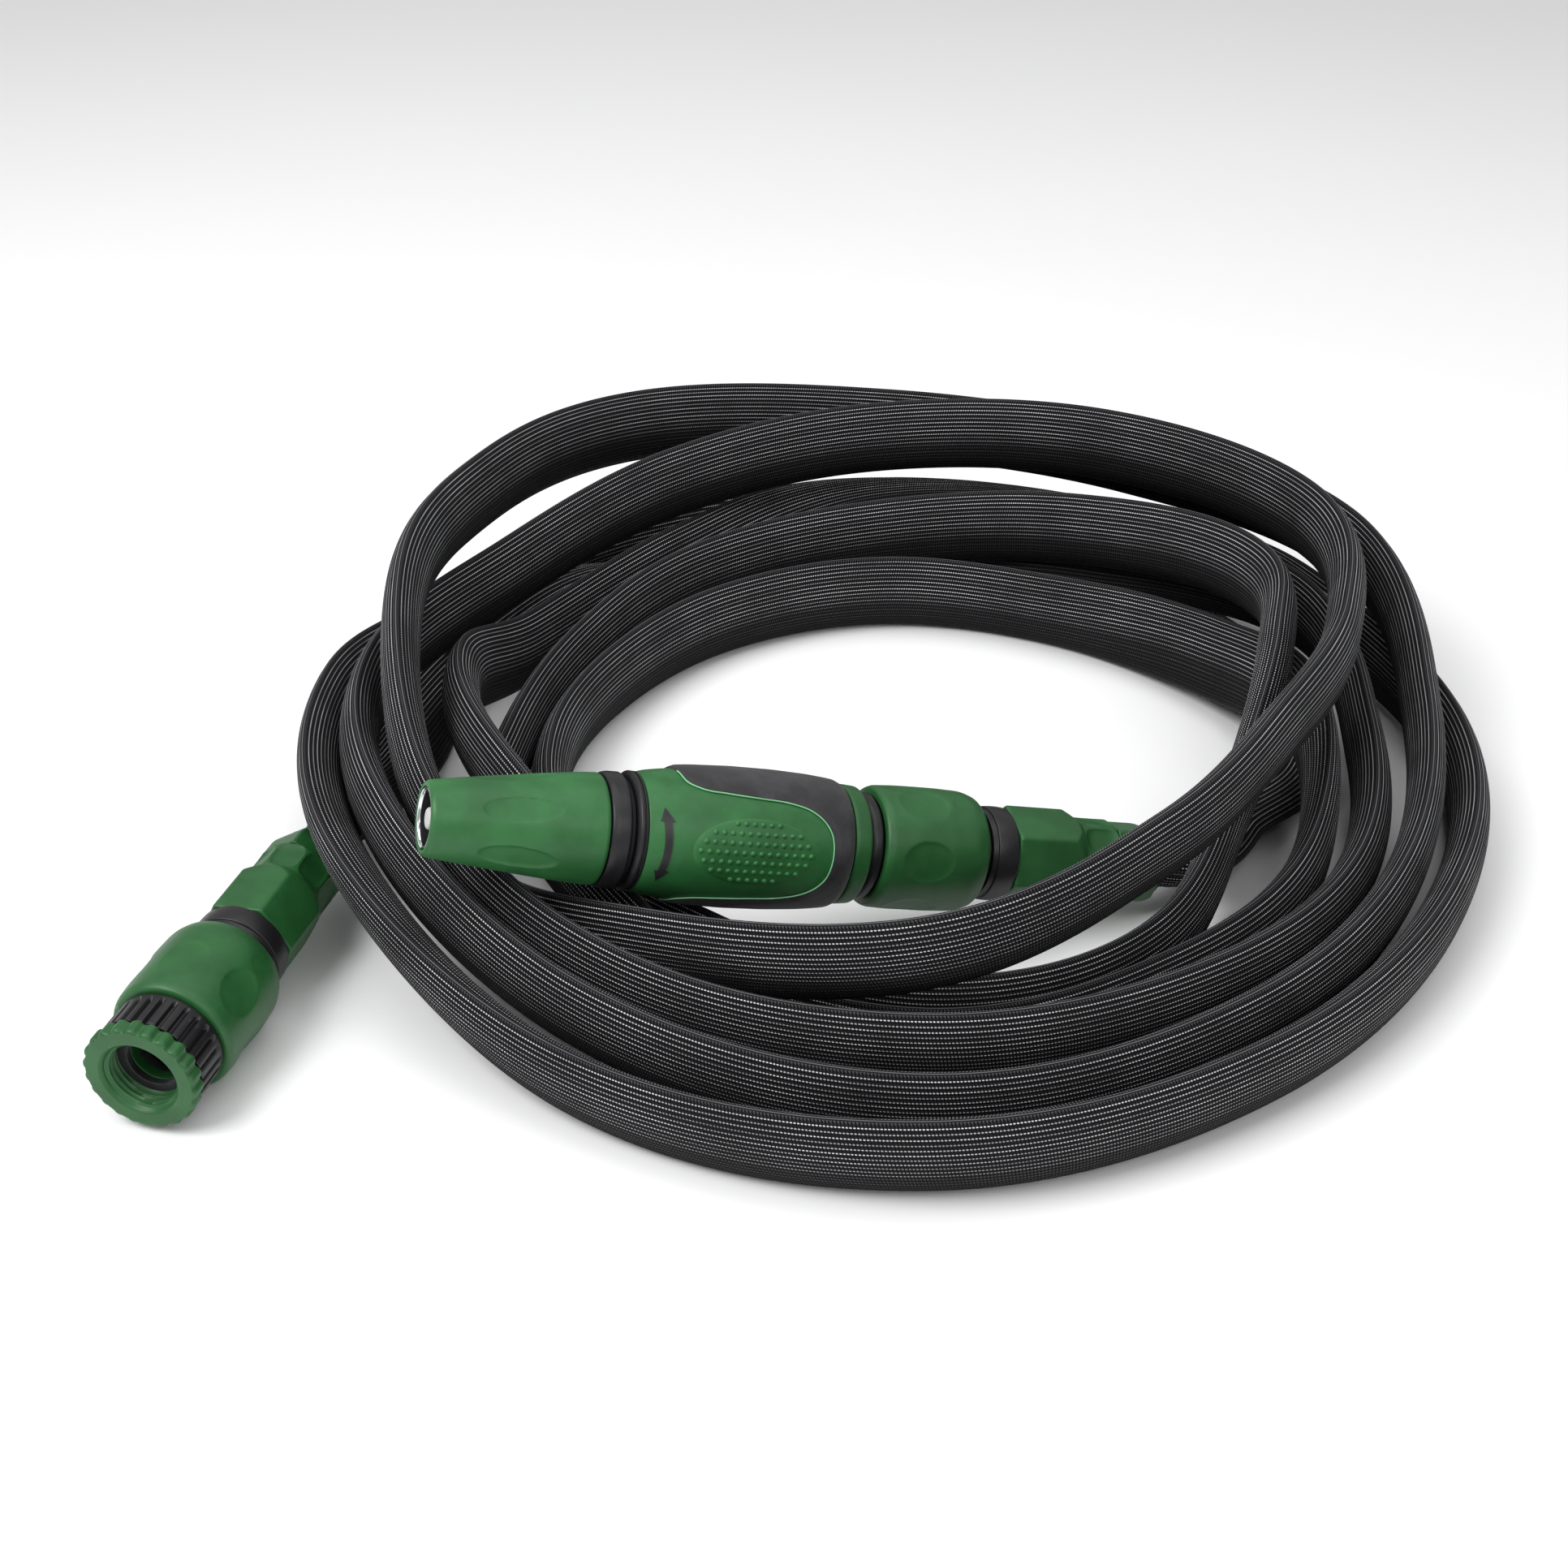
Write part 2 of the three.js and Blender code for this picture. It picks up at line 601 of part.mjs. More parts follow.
function nozzleEnd() {
  const heading = radians(NOZZLE_HEADING);
  const dip = radians(NOZZLE_DIP);
  const lift = radians(GRIP_PANEL_LIFT);
  const axis = new THREE.Vector3(
    Math.cos(dip) * Math.cos(heading), Math.cos(dip) * Math.sin(heading), -Math.sin(dip));
  const side = new THREE.Vector3(Math.sin(heading), -Math.cos(heading), 0);
  const face = side.applyAxisAngle(axis, -lift);
  const across = new THREE.Vector3().crossVectors(axis, face);

  const group = quickConnector('nozzle', NOZZLE_SLEEVE_FRONT, NOZZLE_GUARD_END);
  const tipRing = tube(TIP_RING_BORE, TIP_RING_RADIUS, -TIP_RING_PROUD, TIP_SEAT - GAP, ROUND_SIDES);
  group.add(named('nozzle_tip_ring', tipRing, CHROME));
  group.add(named('nozzle_barrel', nozzleBarrel(), GREEN));
  group.add(named('nozzle_barrel_seal',
    sealRing(NECK_TUBE_RADIUS + SEAL_FIT, BARREL_SEAL_GROOVE - GAP, BARREL_SEAL_MIDDLE), RUBBER));
  group.add(named('nozzle_stem', nozzleStem(), GREY));
  group.add(named('nozzle_neck_tube',
    tube(NECK_TUBE_BORE, NECK_TUBE_RADIUS, NECK_TUBE_FRONT, NECK_TUBE_END), BLACK));
  group.add(named('nozzle_seat_ring',
    tube(NECK_TUBE_RADIUS + GAP, SEAT_RING_RADIUS, BARREL_END + GAP, SEAT_RING_END, ROUND_SIDES), BLACK));
  group.add(named('nozzle_flange_ring',
    tube(NECK_TUBE_RADIUS + GAP, FLANGE_RADIUS, SEAT_RING_END + GAP, NECK_TUBE_END, ROUND_SIDES), BLACK));
  group.add(named('nozzle_grip_body', gripBody(), GREEN));
  group.add(named('nozzle_soft_overmould', softOvermould(), BLACK));
  group.add(named('nozzle_thumb_pad', gripPatch(thumbPadShape(), PAD_THICKNESS), GREEN));
  group.add(named('nozzle_turn_arrow', gripPatch(arrowShape(), ARROW_THICKNESS), BLACK));
  group.add(named('nozzle_rear_ring',
    tube(GRIP_BORE, REAR_RING_RADIUS, GRIP_BACK + GAP, REAR_RING_END, ROUND_SIDES), GREEN));
  group.add(named('nozzle_snout', nozzleSnout(), BLACK));
  group.add(named('nozzle_snout_seal', snoutRing(NOZZLE_SLEEVE_FRONT), RUBBER));
  group.quaternion.setFromRotationMatrix(new THREE.Matrix4().makeBasis(across, axis, face));
  group.position.copy(NOZZLE_TIP);
  return { group, axis };
}

// ---------------------------------------------------------------- hose

// A path of stations, each with the direction in which the hose's width lies.
class FlatHosePath extends THREE.Curve {
  constructor(stations, startTangent, endTangent) {
    super();
    this.stations = stations;
    this.startTangent = startTangent;
    this.endTangent = endTangent;
  }

  getPoint(t, target = new THREE.Vector3()) {
    const index = Math.round(t * (this.stations.length - 1));
    return target.copy(this.stations[index].point);
  }

  getSpacedPoints(divisions) {
    return this.getPoints(divisions);
  }

  computeFrenetFrames(segments) {
    const frames = { tangents: [], normals: [], binormals: [] };
    for (let i = 0; i <= segments; i += 1) {
      const before = this.stations[Math.max(i - 1, 0)].point;
      const after = this.stations[Math.min(i + 1, segments)].point;
      const tangent = after.clone().sub(before).normalize();
      if (i === 0) {
        tangent.copy(this.startTangent);
      }
      if (i === segments) {
        tangent.copy(this.endTangent);
      }
      const normal = this.stations[i].width.clone();
      normal.addScaledVector(tangent, -normal.dot(tangent)).normalize();
      frames.tangents.push(tangent);
      frames.normals.push(normal);
      frames.binormals.push(tangent.clone().cross(normal));
    }
    return frames;
  }
}

function coilStation([azimuth, radius, height, lean]) {
  const angle = radians(azimuth + COIL_ZERO);
  const tilt = radians(lean);
  const outwards = new THREE.Vector3(Math.cos(angle), Math.sin(angle), 0);
  const point = outwards.clone().multiplyScalar(radius).add(COIL_CENTRE);
  point.z = height;
  const width = outwards.multiplyScalar(Math.sin(tilt));
  width.z = Math.cos(tilt);
  return { point, width };
}

function hoseSection() {
  const half = HOSE_WIDTH / 2;
  const thick = HOSE_THICKNESS / 2;
  const corners = [
    [half, 0], [0.76 * half, 0.53 * thick], [0.34 * half, thick],
    [-0.34 * half, thick], [-0.76 * half, 0.53 * thick], [-half, 0],
    [-0.76 * half, -0.53 * thick], [-0.34 * half, -thick],
    [0.34 * half, -thick], [0.76 * half, -0.53 * thick],
  ];
  return new THREE.Shape(corners.map(([x, y]) => new THREE.Vector2(x, y)));
}

function hose(nozzleAxis) {
  const tapAxis = new THREE.Vector3(0, 1, 0);
  const tapExit = TAP_MOUTH.clone().addScaledVector(tapAxis, TAP_GUARD_END + GAP);
  const nozzleExit = NOZZLE_TIP.clone().addScaledVector(nozzleAxis, NOZZLE_GUARD_END + GAP);
  const acrossTap = new THREE.Vector3(-1, 0, 0);
  const acrossNozzle = new THREE.Vector3(nozzleAxis.y, -nozzleAxis.x, 0);
  const stations = COIL.map(coilStation);
  stations.unshift({ point: tapExit, width: acrossTap });
  stations.push({ point: nozzleExit, width: acrossNozzle });
  const path = new FlatHosePath(stations, tapAxis, nozzleAxis.clone().negate());
  return new THREE.ExtrudeGeometry(hoseSection(), { steps: stations.length - 1, extrudePath: path });
}

// ---------------------------------------------------------------- assembly

const group = new THREE.Group();
const nozzle = nozzleEnd();
group.add(tapEnd());
group.add(nozzle.group);
group.add(named('hose', hose(nozzle.axis), WOVEN));

export default group;
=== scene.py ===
"""Collapsible flat garden hose set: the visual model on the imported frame.

Lengths are in millimetres until they are handed to Blender, which works in
metres. The fittings are turned about two axes, one for each end of the hose.
"""

import math

import bmesh
import bpy
import numpy as np
from mathutils import Matrix, Vector


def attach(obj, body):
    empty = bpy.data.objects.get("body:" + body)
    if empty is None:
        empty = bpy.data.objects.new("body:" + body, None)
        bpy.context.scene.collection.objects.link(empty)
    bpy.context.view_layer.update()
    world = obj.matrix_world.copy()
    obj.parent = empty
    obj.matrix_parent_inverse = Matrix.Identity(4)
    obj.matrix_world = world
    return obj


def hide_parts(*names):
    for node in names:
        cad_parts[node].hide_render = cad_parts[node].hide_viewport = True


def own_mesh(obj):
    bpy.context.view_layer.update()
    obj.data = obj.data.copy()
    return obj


MM = 0.001
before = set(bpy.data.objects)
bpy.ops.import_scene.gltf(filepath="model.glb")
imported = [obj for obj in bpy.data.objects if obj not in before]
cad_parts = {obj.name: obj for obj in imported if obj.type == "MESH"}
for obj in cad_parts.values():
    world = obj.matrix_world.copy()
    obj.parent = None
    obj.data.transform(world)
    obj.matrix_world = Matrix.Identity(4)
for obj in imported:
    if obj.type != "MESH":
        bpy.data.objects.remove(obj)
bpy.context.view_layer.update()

# ------------------------------------------------------------------ places

COIL_CENTRE = Vector((42.6, 118.9, 0.0))
COIL_ZERO = 14.0
VIEW_TURN = 14.0
VIEW_ELEVATION = 32.0
LENS = 48.45

TAP_MOUTH = Vector((-115.1, -87.9, 17.6))
NOZZLE_TIP = Vector((-54.9, -30.8, 71.5))
NOZZLE_HEADING = 31.3
NOZZLE_DIP = 15.0
GRIP_PANEL_LIFT = 17.8

TAP_SLEEVE = 17.3
TAP_GUARD_END = 106.0
NOZZLE_SLEEVE = 126.2
NOZZLE_GUARD_END = 220.0


class Place:
    """An axis to turn pieces about: stations run along it from an origin."""

    def __init__(self, origin, axis, face):
        self.origin = origin
        self.axis = axis.normalized()
        self.face = face.normalized()
        self.across = self.axis.cross(self.face)

    def point(self, radius, angle, station):
        outwards = self.face * math.cos(angle) + self.across * math.sin(angle)
        return (self.origin + self.axis * station + outwards * radius) * MM


def nozzle_place():
    heading = math.radians(NOZZLE_HEADING)
    dip = math.radians(NOZZLE_DIP)
    flat = math.cos(dip)
    axis = Vector((flat * math.cos(heading), flat * math.sin(heading), -math.sin(dip)))
    side = Vector((math.sin(heading), -math.cos(heading), 0.0))
    lift = Matrix.Rotation(math.radians(-GRIP_PANEL_LIFT), 3, axis)
    return Place(NOZZLE_TIP, axis, lift @ side)


TAP = Place(TAP_MOUTH, Vector((0, 1, 0)), Vector((0, 0, 1)))
NOZZLE = nozzle_place()

# ------------------------------------------------------------------ camera


def make_camera():
    """The whole set from a little above, at the height of a standing eye."""
    data = bpy.data.cameras.new("view")
    data.lens = LENS
    data.sensor_width = 36.0
    data.clip_start = 0.01
    camera = bpy.data.objects.new("view", data)
    bpy.context.scene.collection.objects.link(camera)
    turn = Matrix.Rotation(math.radians(VIEW_TURN), 3, "Z")
    from_coil = Vector((-36.9, -582.5, 369.9))
    camera.location = (COIL_CENTRE + turn @ from_coil) * MM
    camera.rotation_euler = (math.radians(90 - VIEW_ELEVATION), 0, math.radians(VIEW_TURN))
    bpy.context.scene.camera = camera


make_camera()

# ------------------------------------------------------------------ node helpers


class Graph:
    """Short names for building one material's node tree."""

    def __init__(self, name):
        self.material = bpy.data.materials.new(name)
        self.material.use_nodes = True
        self.tree = self.material.node_tree
        self.shader = self.tree.nodes["Principled BSDF"]

    def node(self, kind, **settings):
        made = self.tree.nodes.new(kind)
        for key, value in settings.items():
            setattr(made, key, value)
        return made

    def put(self, socket, value):
        if isinstance(value, bpy.types.NodeSocket):
            self.tree.links.new(value, socket)
        else:
            socket.default_value = value

    def math(self, operation, *values, clamp=False):
        made = self.node("ShaderNodeMath", operation=operation, use_clamp=clamp)
        for socket, value in zip(made.inputs, values):
            self.put(socket, value)
        return made.outputs[0]

    def step(self, value, low, high):
        """0 below low, 1 above high, smooth between."""
        made = self.node("ShaderNodeMapRange", interpolation_type="SMOOTHSTEP")
        self.put(made.inputs["Value"], value)
        made.inputs["From Min"].default_value = low
        made.inputs["From Max"].default_value = high
        return made.outputs["Result"]

    def span(self, value, low, high):
        """0 to 1 turned into low to high."""
        made = self.node("ShaderNodeMapRange")
        self.put(made.inputs["Value"], value)
        made.inputs["To Min"].default_value = low
        made.inputs["To Max"].default_value = high
        return made.outputs["Result"]

    def mix(self, factor, first, second):
        made = self.node("ShaderNodeMix", data_type="RGBA")
        self.put(made.inputs[0], factor)
        self.put(made.inputs[6], first)
        self.put(made.inputs[7], second)
        return made.outputs[2]

    def where(self):
        """The surface's own place, in metres, which moves with the piece."""
        return self.node("ShaderNodeTexCoord").outputs["Object"]

    def noise(self, scale, detail=3.0, roughness=0.5, place=None):
        made = self.node("ShaderNodeTexNoise")
        self.put(made.inputs["Vector"], place or self.where())
        made.inputs["Scale"].default_value = scale
        made.inputs["Detail"].default_value = detail
        made.inputs["Roughness"].default_value = roughness
        return made.outputs["Fac"]

    def bump(self, height, distance, strength=1.0, under=None):
        made = self.node("ShaderNodeBump")
        made.inputs["Strength"].default_value = strength
        made.inputs["Distance"].default_value = distance
        self.put(made.inputs["Height"], height)
        if under:
            self.put(made.inputs["Normal"], under)
        return made.outputs["Normal"]

    def finish(self, colour, roughness, normal=None, **fixed):
        self.put(self.shader.inputs["Base Color"], colour)
        self.put(self.shader.inputs["Roughness"], roughness)
        if normal:
            self.put(self.shader.inputs["Normal"], normal)
        for name, value in fixed.items():
            self.shader.inputs[name.replace("_", " ")].default_value = value
        return self.material


def linear(hex_colour):
    """A hex colour as Blender's linear RGBA."""
    channels = [int(hex_colour[i:i + 2], 16) / 255 for i in (0, 2, 4)]
    return (*[c / 12.92 if c <= 0.04045 else ((c + 0.055) / 1.055) ** 2.4 for c in channels], 1.0)


# ------------------------------------------------------------------ materials


def moulded_plastic(name, dark, light, low_rough, high_rough, grain=0.00003):
    """Satin moulded plastic: faint mottling, fine spark texture, rubbed spots."""
    g = Graph(name)
    mottle = g.noise(55.0, 4.0, 0.6)
    fine = g.noise(2600.0, 2.0, 0.6)
    rubbed = g.step(g.noise(140.0, 6.0, 0.65), 0.58, 0.74)
    colour = g.mix(g.step(mottle, 0.3, 0.7), linear(dark), linear(light))
    edge = g.node("ShaderNodeNewGeometry").outputs["Pointiness"]
    worn = g.math("MULTIPLY", g.step(edge, 0.52, 0.6), g.span(rubbed, 0.25, 0.8))
    pale = tuple(min(1.0, c * 2.1 + 0.02) for c in linear(light)[:3]) + (1.0,)
    colour = g.mix(worn, colour, pale)
    roughness = g.math("ADD", g.span(mottle, low_rough, high_rough), g.math("MULTIPLY", rubbed, 0.08))
    normal = g.bump(fine, grain, 0.6, g.bump(mottle, 0.0002, 0.12))
    return g.finish(colour, roughness, normal, Coat_Weight=0.06, Coat_Roughness=0.25, Specular_IOR_Level=0.4)


def soft_rubber(name, tone):
    """Soft-touch rubber with a leathery micro texture."""
    g = Graph(name)
    cells = g.node("ShaderNodeTexVoronoi", feature="SMOOTH_F1")
    g.put(cells.inputs["Vector"], g.where())
    cells.inputs["Scale"].default_value = 1500.0
    dust = g.noise(90.0, 5.0, 0.6)
    colour = g.mix(g.step(dust, 0.35, 0.8), linear(tone), linear("3a3a3d"))
    normal = g.bump(cells.outputs["Distance"], 0.00006, 0.5)
    return g.finish(colour, g.span(dust, 0.5, 0.72), normal, Sheen_Weight=0.08)


def polished_metal(name, tone, rough):
    g = Graph(name)
    haze = g.noise(300.0, 5.0, 0.7)
    colour = g.mix(haze, linear(tone), linear("eceef0"))
    normal = g.bump(g.noise(900.0, 3.0), 0.00001, 0.4)
    return g.finish(colour, g.span(haze, rough, rough + 0.12), normal, Metallic=1.0)


def latex(name):
    g = Graph(name)
    cloud = g.noise(120.0, 4.0)
    colour = g.mix(cloud, linear("b5a67e"), linear("d8cba6"))
    return g.finish(colour, g.span(cloud, 0.5, 0.7), g.bump(cloud, 0.0001, 0.3))


ROW = 1.45
BEAT = 0.9


def woven_jacket(name, perimeter):
    """A near-black ribbed weave with rows of pale dotted thread.

    The attribute "weave" holds the distance along the hose and the distance
    round it, both in millimetres; the folds are at nought and half way round.
    """
    g = Graph(name)
    half = perimeter / 2
    place = g.node("ShaderNodeAttribute", attribute_name="weave").outputs["Vector"]
    split = g.node("ShaderNodeSeparateXYZ")
    g.put(split.inputs[0], place)
    along, around = split.outputs[0], split.outputs[1]
    on_face = g.math("PINGPONG", around, half)
    from_fold = g.math("MINIMUM", on_face, g.math("SUBTRACT", half, on_face))

    # where the stitches come along a row: each row starts a little further on
    row = g.math("DIVIDE", around, ROW)
    from_row = g.math("ABSOLUTE", g.math("SUBTRACT", g.math("FRACT", row), 0.5))
    uneven = g.math("MULTIPLY", g.noise(150.0, 2.0), 0.5)
    phase = g.math("ADD", g.math("DIVIDE", along, BEAT), g.math("MULTIPLY", on_face, 0.22))
    phase = g.math("ADD", phase, uneven)
    beat = g.math("ABSOLUTE", g.math("SUBTRACT", g.math("FRACT", phase), 0.5))

    # loops of yarn lie across each row, with dark holes between them
    loop = g.step(beat, 0.36, 0.16)
    ridge = g.step(from_row, 0.5, 0.3)
    loop = g.math("MULTIPLY", loop, g.span(ridge, 0.35, 1.0))
    groove = g.step(from_row, 0.42, 0.5)

    # pale thread on the rows, in patches and brighter on some rows; it is full bright only on each face's
    # upper half, a painted highlight from the light above, and dimmed on the lower half
    painted_highlight_upper = g.math("MULTIPLY", g.step(on_face, 0.9, 1.7), g.step(on_face, half * 0.6, half * 0.42))
    thread = g.math("MULTIPLY", g.step(from_row, 0.14, 0.06), g.step(beat, 0.4, 0.24))
    patchy = g.span(g.noise(45.0, 4.0, 0.6), -0.1, 1.7)
    tone = g.math("MULTIPLY", g.span(painted_highlight_upper, 0.16, 1.0), patchy, clamp=True)
    row_share = g.math("FRACT", g.math("MULTIPLY", g.math("FLOOR", row), 0.618))
    tone = g.math("MULTIPLY", tone, g.span(row_share, 0.4, 1.15))
    thread = g.math("MULTIPLY", thread, tone, clamp=True)

    # the fold: a smooth band, a thin pale line along the fold and a row of slanted stitches
    fold_line = g.math("MULTIPLY", g.step(from_fold, 0.26, 0.08), 0.8)
    band = g.step(from_fold, 0.6, 0.45)
    slant = g.math("FRACT", g.math("ADD", g.math("DIVIDE", along, BEAT), g.math("MULTIPLY", from_fold, 0.45)))
    stitch = g.math("MULTIPLY", g.step(g.math("ABSOLUTE", g.math("SUBTRACT", slant, 0.5)), 0.26, 0.12),
                    g.math("MULTIPLY", g.step(from_fold, 0.45, 0.6), g.step(from_fold, 1.6, 1.3)))

    fuzz = g.noise(2600.0, 3.0, 0.7)
    patches = g.step(g.noise(24.0, 3.0), 0.3, 0.7)
    colour = g.mix(patches, linear("070708"), linear("0c0c0d"))
    yarn = g.mix(fuzz, linear("18181a"), linear("2a2a2d"))
    colour = g.mix(g.math("MULTIPLY", loop, 0.9), colour, yarn)
    colour = g.mix(g.math("MULTIPLY", groove, 0.75), colour, linear("040405"))
    colour = g.mix(thread, colour, linear("e4e4e8"))
    # painted shade: each face darkens towards the fold half way round, its lower edge, where less of the
    # light from above falls
    painted_shade_lower = g.math("MULTIPLY", g.step(on_face, half * 0.5, half * 0.85), 0.6)
    colour = g.mix(painted_shade_lower, colour, linear("030304"))
    colour = g.mix(band, colour, linear("111113"))
    colour = g.mix(g.math("MULTIPLY", stitch, 0.75), colour, linear("48484b"))
    colour = g.mix(fold_line, colour, linear("6c6c70"))

    height = g.math("ADD", g.math("MULTIPLY", loop, 0.55), g.math("MULTIPLY", ridge, 0.5))
    height = g.math("ADD", height, g.math("MULTIPLY", thread, 0.35))
    height = g.math("MULTIPLY", height, g.math("SUBTRACT", 1.0, band))
    height = g.math("ADD", height, g.math("MULTIPLY", g.math("ADD", stitch, fuzz), 0.3))
    normal = g.bump(height, 0.0004, 0.85)
    return g.finish(colour, g.span(thread, 0.82, 0.55), normal, Specular_IOR_Level=0.16)


GREEN = moulded_plastic("green_plastic", "205629", "2b6a36", 0.42, 0.54)
DEEP = moulded_plastic("deep_green_plastic", "1b4d23", "255d2e", 0.4, 0.52)
BLACK = moulded_plastic("black_plastic", "121214", "1c1c1f", 0.36, 0.48)
GREY = moulded_plastic("grey_plastic", "b2b1b1", "c4c3c2", 0.4, 0.5)
SOFT = soft_rubber("soft_rubber", "1b1b1e")
SEAL = soft_rubber("seal_rubber", "0e0e10")
CHROME = polished_metal("chrome", "c6c9cc", 0.08)
STEEL = polished_metal("spring_steel", "8d9093", 0.25)
LATEX = latex("latex")
# painted highlight: a much paler green than the panel, standing in for the light the window bead's raised
# edge catches
EDGE_HIGHLIGHT = moulded_plastic("edge_painted_highlight", "5f9a6c", "7fc08e", 0.28, 0.36)

# ------------------------------------------------------------------ mesh helpers


def add_object(name, verts, faces, material, smooth_angle=32.0):
    mesh = bpy.data.meshes.new(name)
    mesh.from_pydata([tuple(v) for v in verts], [], faces)
    made = bmesh.new()
    made.from_mesh(mesh)
    bmesh.ops.remove_doubles(made, verts=made.verts, dist=1e-7)
    bmesh.ops.recalc_face_normals(made, faces=made.faces)
    made.to_mesh(mesh)
    made.free()
    mesh.shade_smooth()
    mesh.set_sharp_from_angle(angle=math.radians(smooth_angle))
    mesh.materials.append(material)
    piece = bpy.data.objects.new(name, mesh)
    bpy.context.scene.collection.objects.link(piece)
    return piece


def filleted(corners, closed=True):
    """Corners (radius, station, fillet) as a line with its corners rounded."""
    line = []
    count = len(corners)
    for i, (radius, station, fillet) in enumerate(corners):
        here = Vector((radius, station))
        inner = closed or 0 < i < count - 1
        if not fillet or not inner:
            line.append(here)
            continue
        before = Vector(corners[i - 1][:2])
        after = Vector(corners[(i + 1) % count][:2])
        back = (before - here)
        ahead = (after - here)
        reach = min(fillet, back.length * 0.48, ahead.length * 0.48)
        start = here + back.normalized() * reach
        end = here + ahead.normalized() * reach
        for k in range(5):
            t = k / 4
            line.append(start * (1 - t) ** 2 + here * 2 * t * (1 - t) + end * t * t)
    return line


def divided(line, longest, closed=True):
    """The line with its long stretches cut into shorter ones."""
    result = []
    last = len(line) if closed else len(line) - 1
    for i in range(last):
        here, after = line[i], line[(i + 1) % len(line)]
        cuts = max(1, math.ceil((after - here).length / longest))
        result.extend(here.lerp(after, k / cuts) for k in range(cuts))
    if not closed:
        result.append(line[-1])
    return result


def turned(name, place, corners, material, sides=128, shape=None, longest=1.2, closed=True, angle=32.0):
    """A turned piece; shape(angle, station, radius) may reshape its surface."""
    line = divided(filleted(corners, closed), longest, closed)
    verts = []
    for radius, station in line:
        for k in range(sides):
            turn = 2 * math.pi * k / sides
            reach = shape(turn, station, radius) if shape else radius
            verts.append(place.point(reach, turn, station))
    return add_object(name, verts, ring_faces(len(line), sides, closed), material, angle)


def ring_faces(rings, sides, closed=False, first=0):
    """Four-sided faces between rings of points that follow one another."""
    faces = []
    for i in range(rings if closed else rings - 1):
        here = first + i * sides
        after = first + (i + 1) % rings * sides
        for k in range(sides):
            m = (k + 1) % sides
            faces.append((here + k, here + m, after + m, after + k))
    return faces


def cap(sides, first=0):
    """One face that closes a ring of points."""
    return tuple(first + k for k in range(sides))


def stands_for(piece, node, body):
    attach(piece, body)
    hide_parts(node)
    return piece


def smooth_step(value, low, high):
    t = min(1.0, max(0.0, (value - low) / (high - low)))
    return t * t * (3 - 2 * t)


def wrapped(angle):
    return (angle + math.pi) % (2 * math.pi) - math.pi


# ------------------------------------------------------------------ hose

HOSE_WIDTH = 28.0
HOSE_THICKNESS = 12.2
RING_STEP = 3.2
POINTS_PER_ROW = 2
RIB_HEIGHT = 0.09
GATHER_LENGTH = 42.0
END_GAP = 0.3
FLOOR_GAP = 0.3

# azimuth, radius and height of each station, and how far the hose's width leans over
COIL = [
    # from the tap connector, low under the outer turns
    [180, 166, 9, 80], [150, 166, 14, 10], [120, 170, 8, 88],
    [90, 158, 7.5, 90], [60, 150, 24, 30], [30, 164, 29, 0],
    # first full turn, climbing over the left side
    [0, 150, 20, 0], [330, 148.5, 17, 5], [300, 152, 22, 10],
    [270, 161.5, 27, 12], [240, 158.6, 28.5, 8], [210, 157.2, 42, 0],
    [180, 154.5, 71, 0], [150, 165, 70.5, 0], [120, 190, 62, 0],
    [90, 186, 55, 0], [60, 187, 50, 0], [30, 188, 46, 0],
    # second turn, outside the first at the front
    [0, 167, 30, 0], [330, 162, 20, 5], [300, 165.5, 18, 10],
    [270, 174, 18, 12], [240, 170.8, 24, 10], [210, 170.2, 40, 0],
    [180, 166.7, 43, 0], [150, 154.5, 43, 0], [120, 156, 52, 0],
    [90, 167, 57, 0], [60, 169, 62, 0], [30, 167, 61, 0],
    # third turn, highest at the front
    [0, 137, 60, 0], [330, 120, 58, 5], [300, 128, 55, 10],
    [270, 150, 49, 12], [240, 145.1, 33, 10], [210, 144.3, 14, 0],
    [180, 125, 16, 0], [150, 124, 19, 0], [120, 137, 22, 0],
    [90, 143, 28, 0], [60, 140, 40, 0], [30, 141, 48, 0],
    # fourth turn, the innermost
    [0, 117, 52, 0], [330, 110, 26, 0], [300, 126, 15, 0],
    [270, 133, 15, 0], [240, 118, 15, 0], [210, 116.5, 15, 0],
    [180, 111, 15, 0], [150, 109, 15, 0], [120, 115, 15, 0],
    [90, 121, 15, 0], [60, 122, 15, 0], [30, 128, 18.5, 25],
    # fifth turn, opening outwards to the right
    [0, 130, 31, 10], [330, 135, 16, 0], [300, 138.7, 15, 0],
    [270, 147, 15, 0], [240, 131.2, 15, 0], [210, 132.3, 43, 0],
    [180, 139, 41.5, 0], [150, 146, 17, 0], [120, 151, 23, 8],
    [90, 172, 27.5, 70], [60, 184, 24, 85], [30, 186.5, 14.5, 10],
    # last turn, the outermost, which hops over the tap end's hose
    [0, 181, 14, 5], [330, 175, 14, 8], [300, 178.5, 14, 10],
    [270, 187, 14, 12], [240, 184, 14, 14], [210, 183, 35, 25],
    [180, 180, 34, 8], [150, 184, 15, 0], [120, 190.5, 14, 5],
    [90, 187, 11, 60], [60, 169, 7, 90], [30, 149, 7, 90],
    [0, 124, 7, 90], [345, 104, 9, 90],
]


def as_station(point, lean, azimuth_near):
    """A point on a fitting's axis as azimuth, radius, height and lean."""
    away = point - COIL_CENTRE
    azimuth = math.degrees(math.atan2(away.y, away.x)) - COIL_ZERO
    azimuth += 360 * round((azimuth_near - azimuth) / 360)
    return [azimuth, math.hypot(away.x, away.y), point.z, lean]


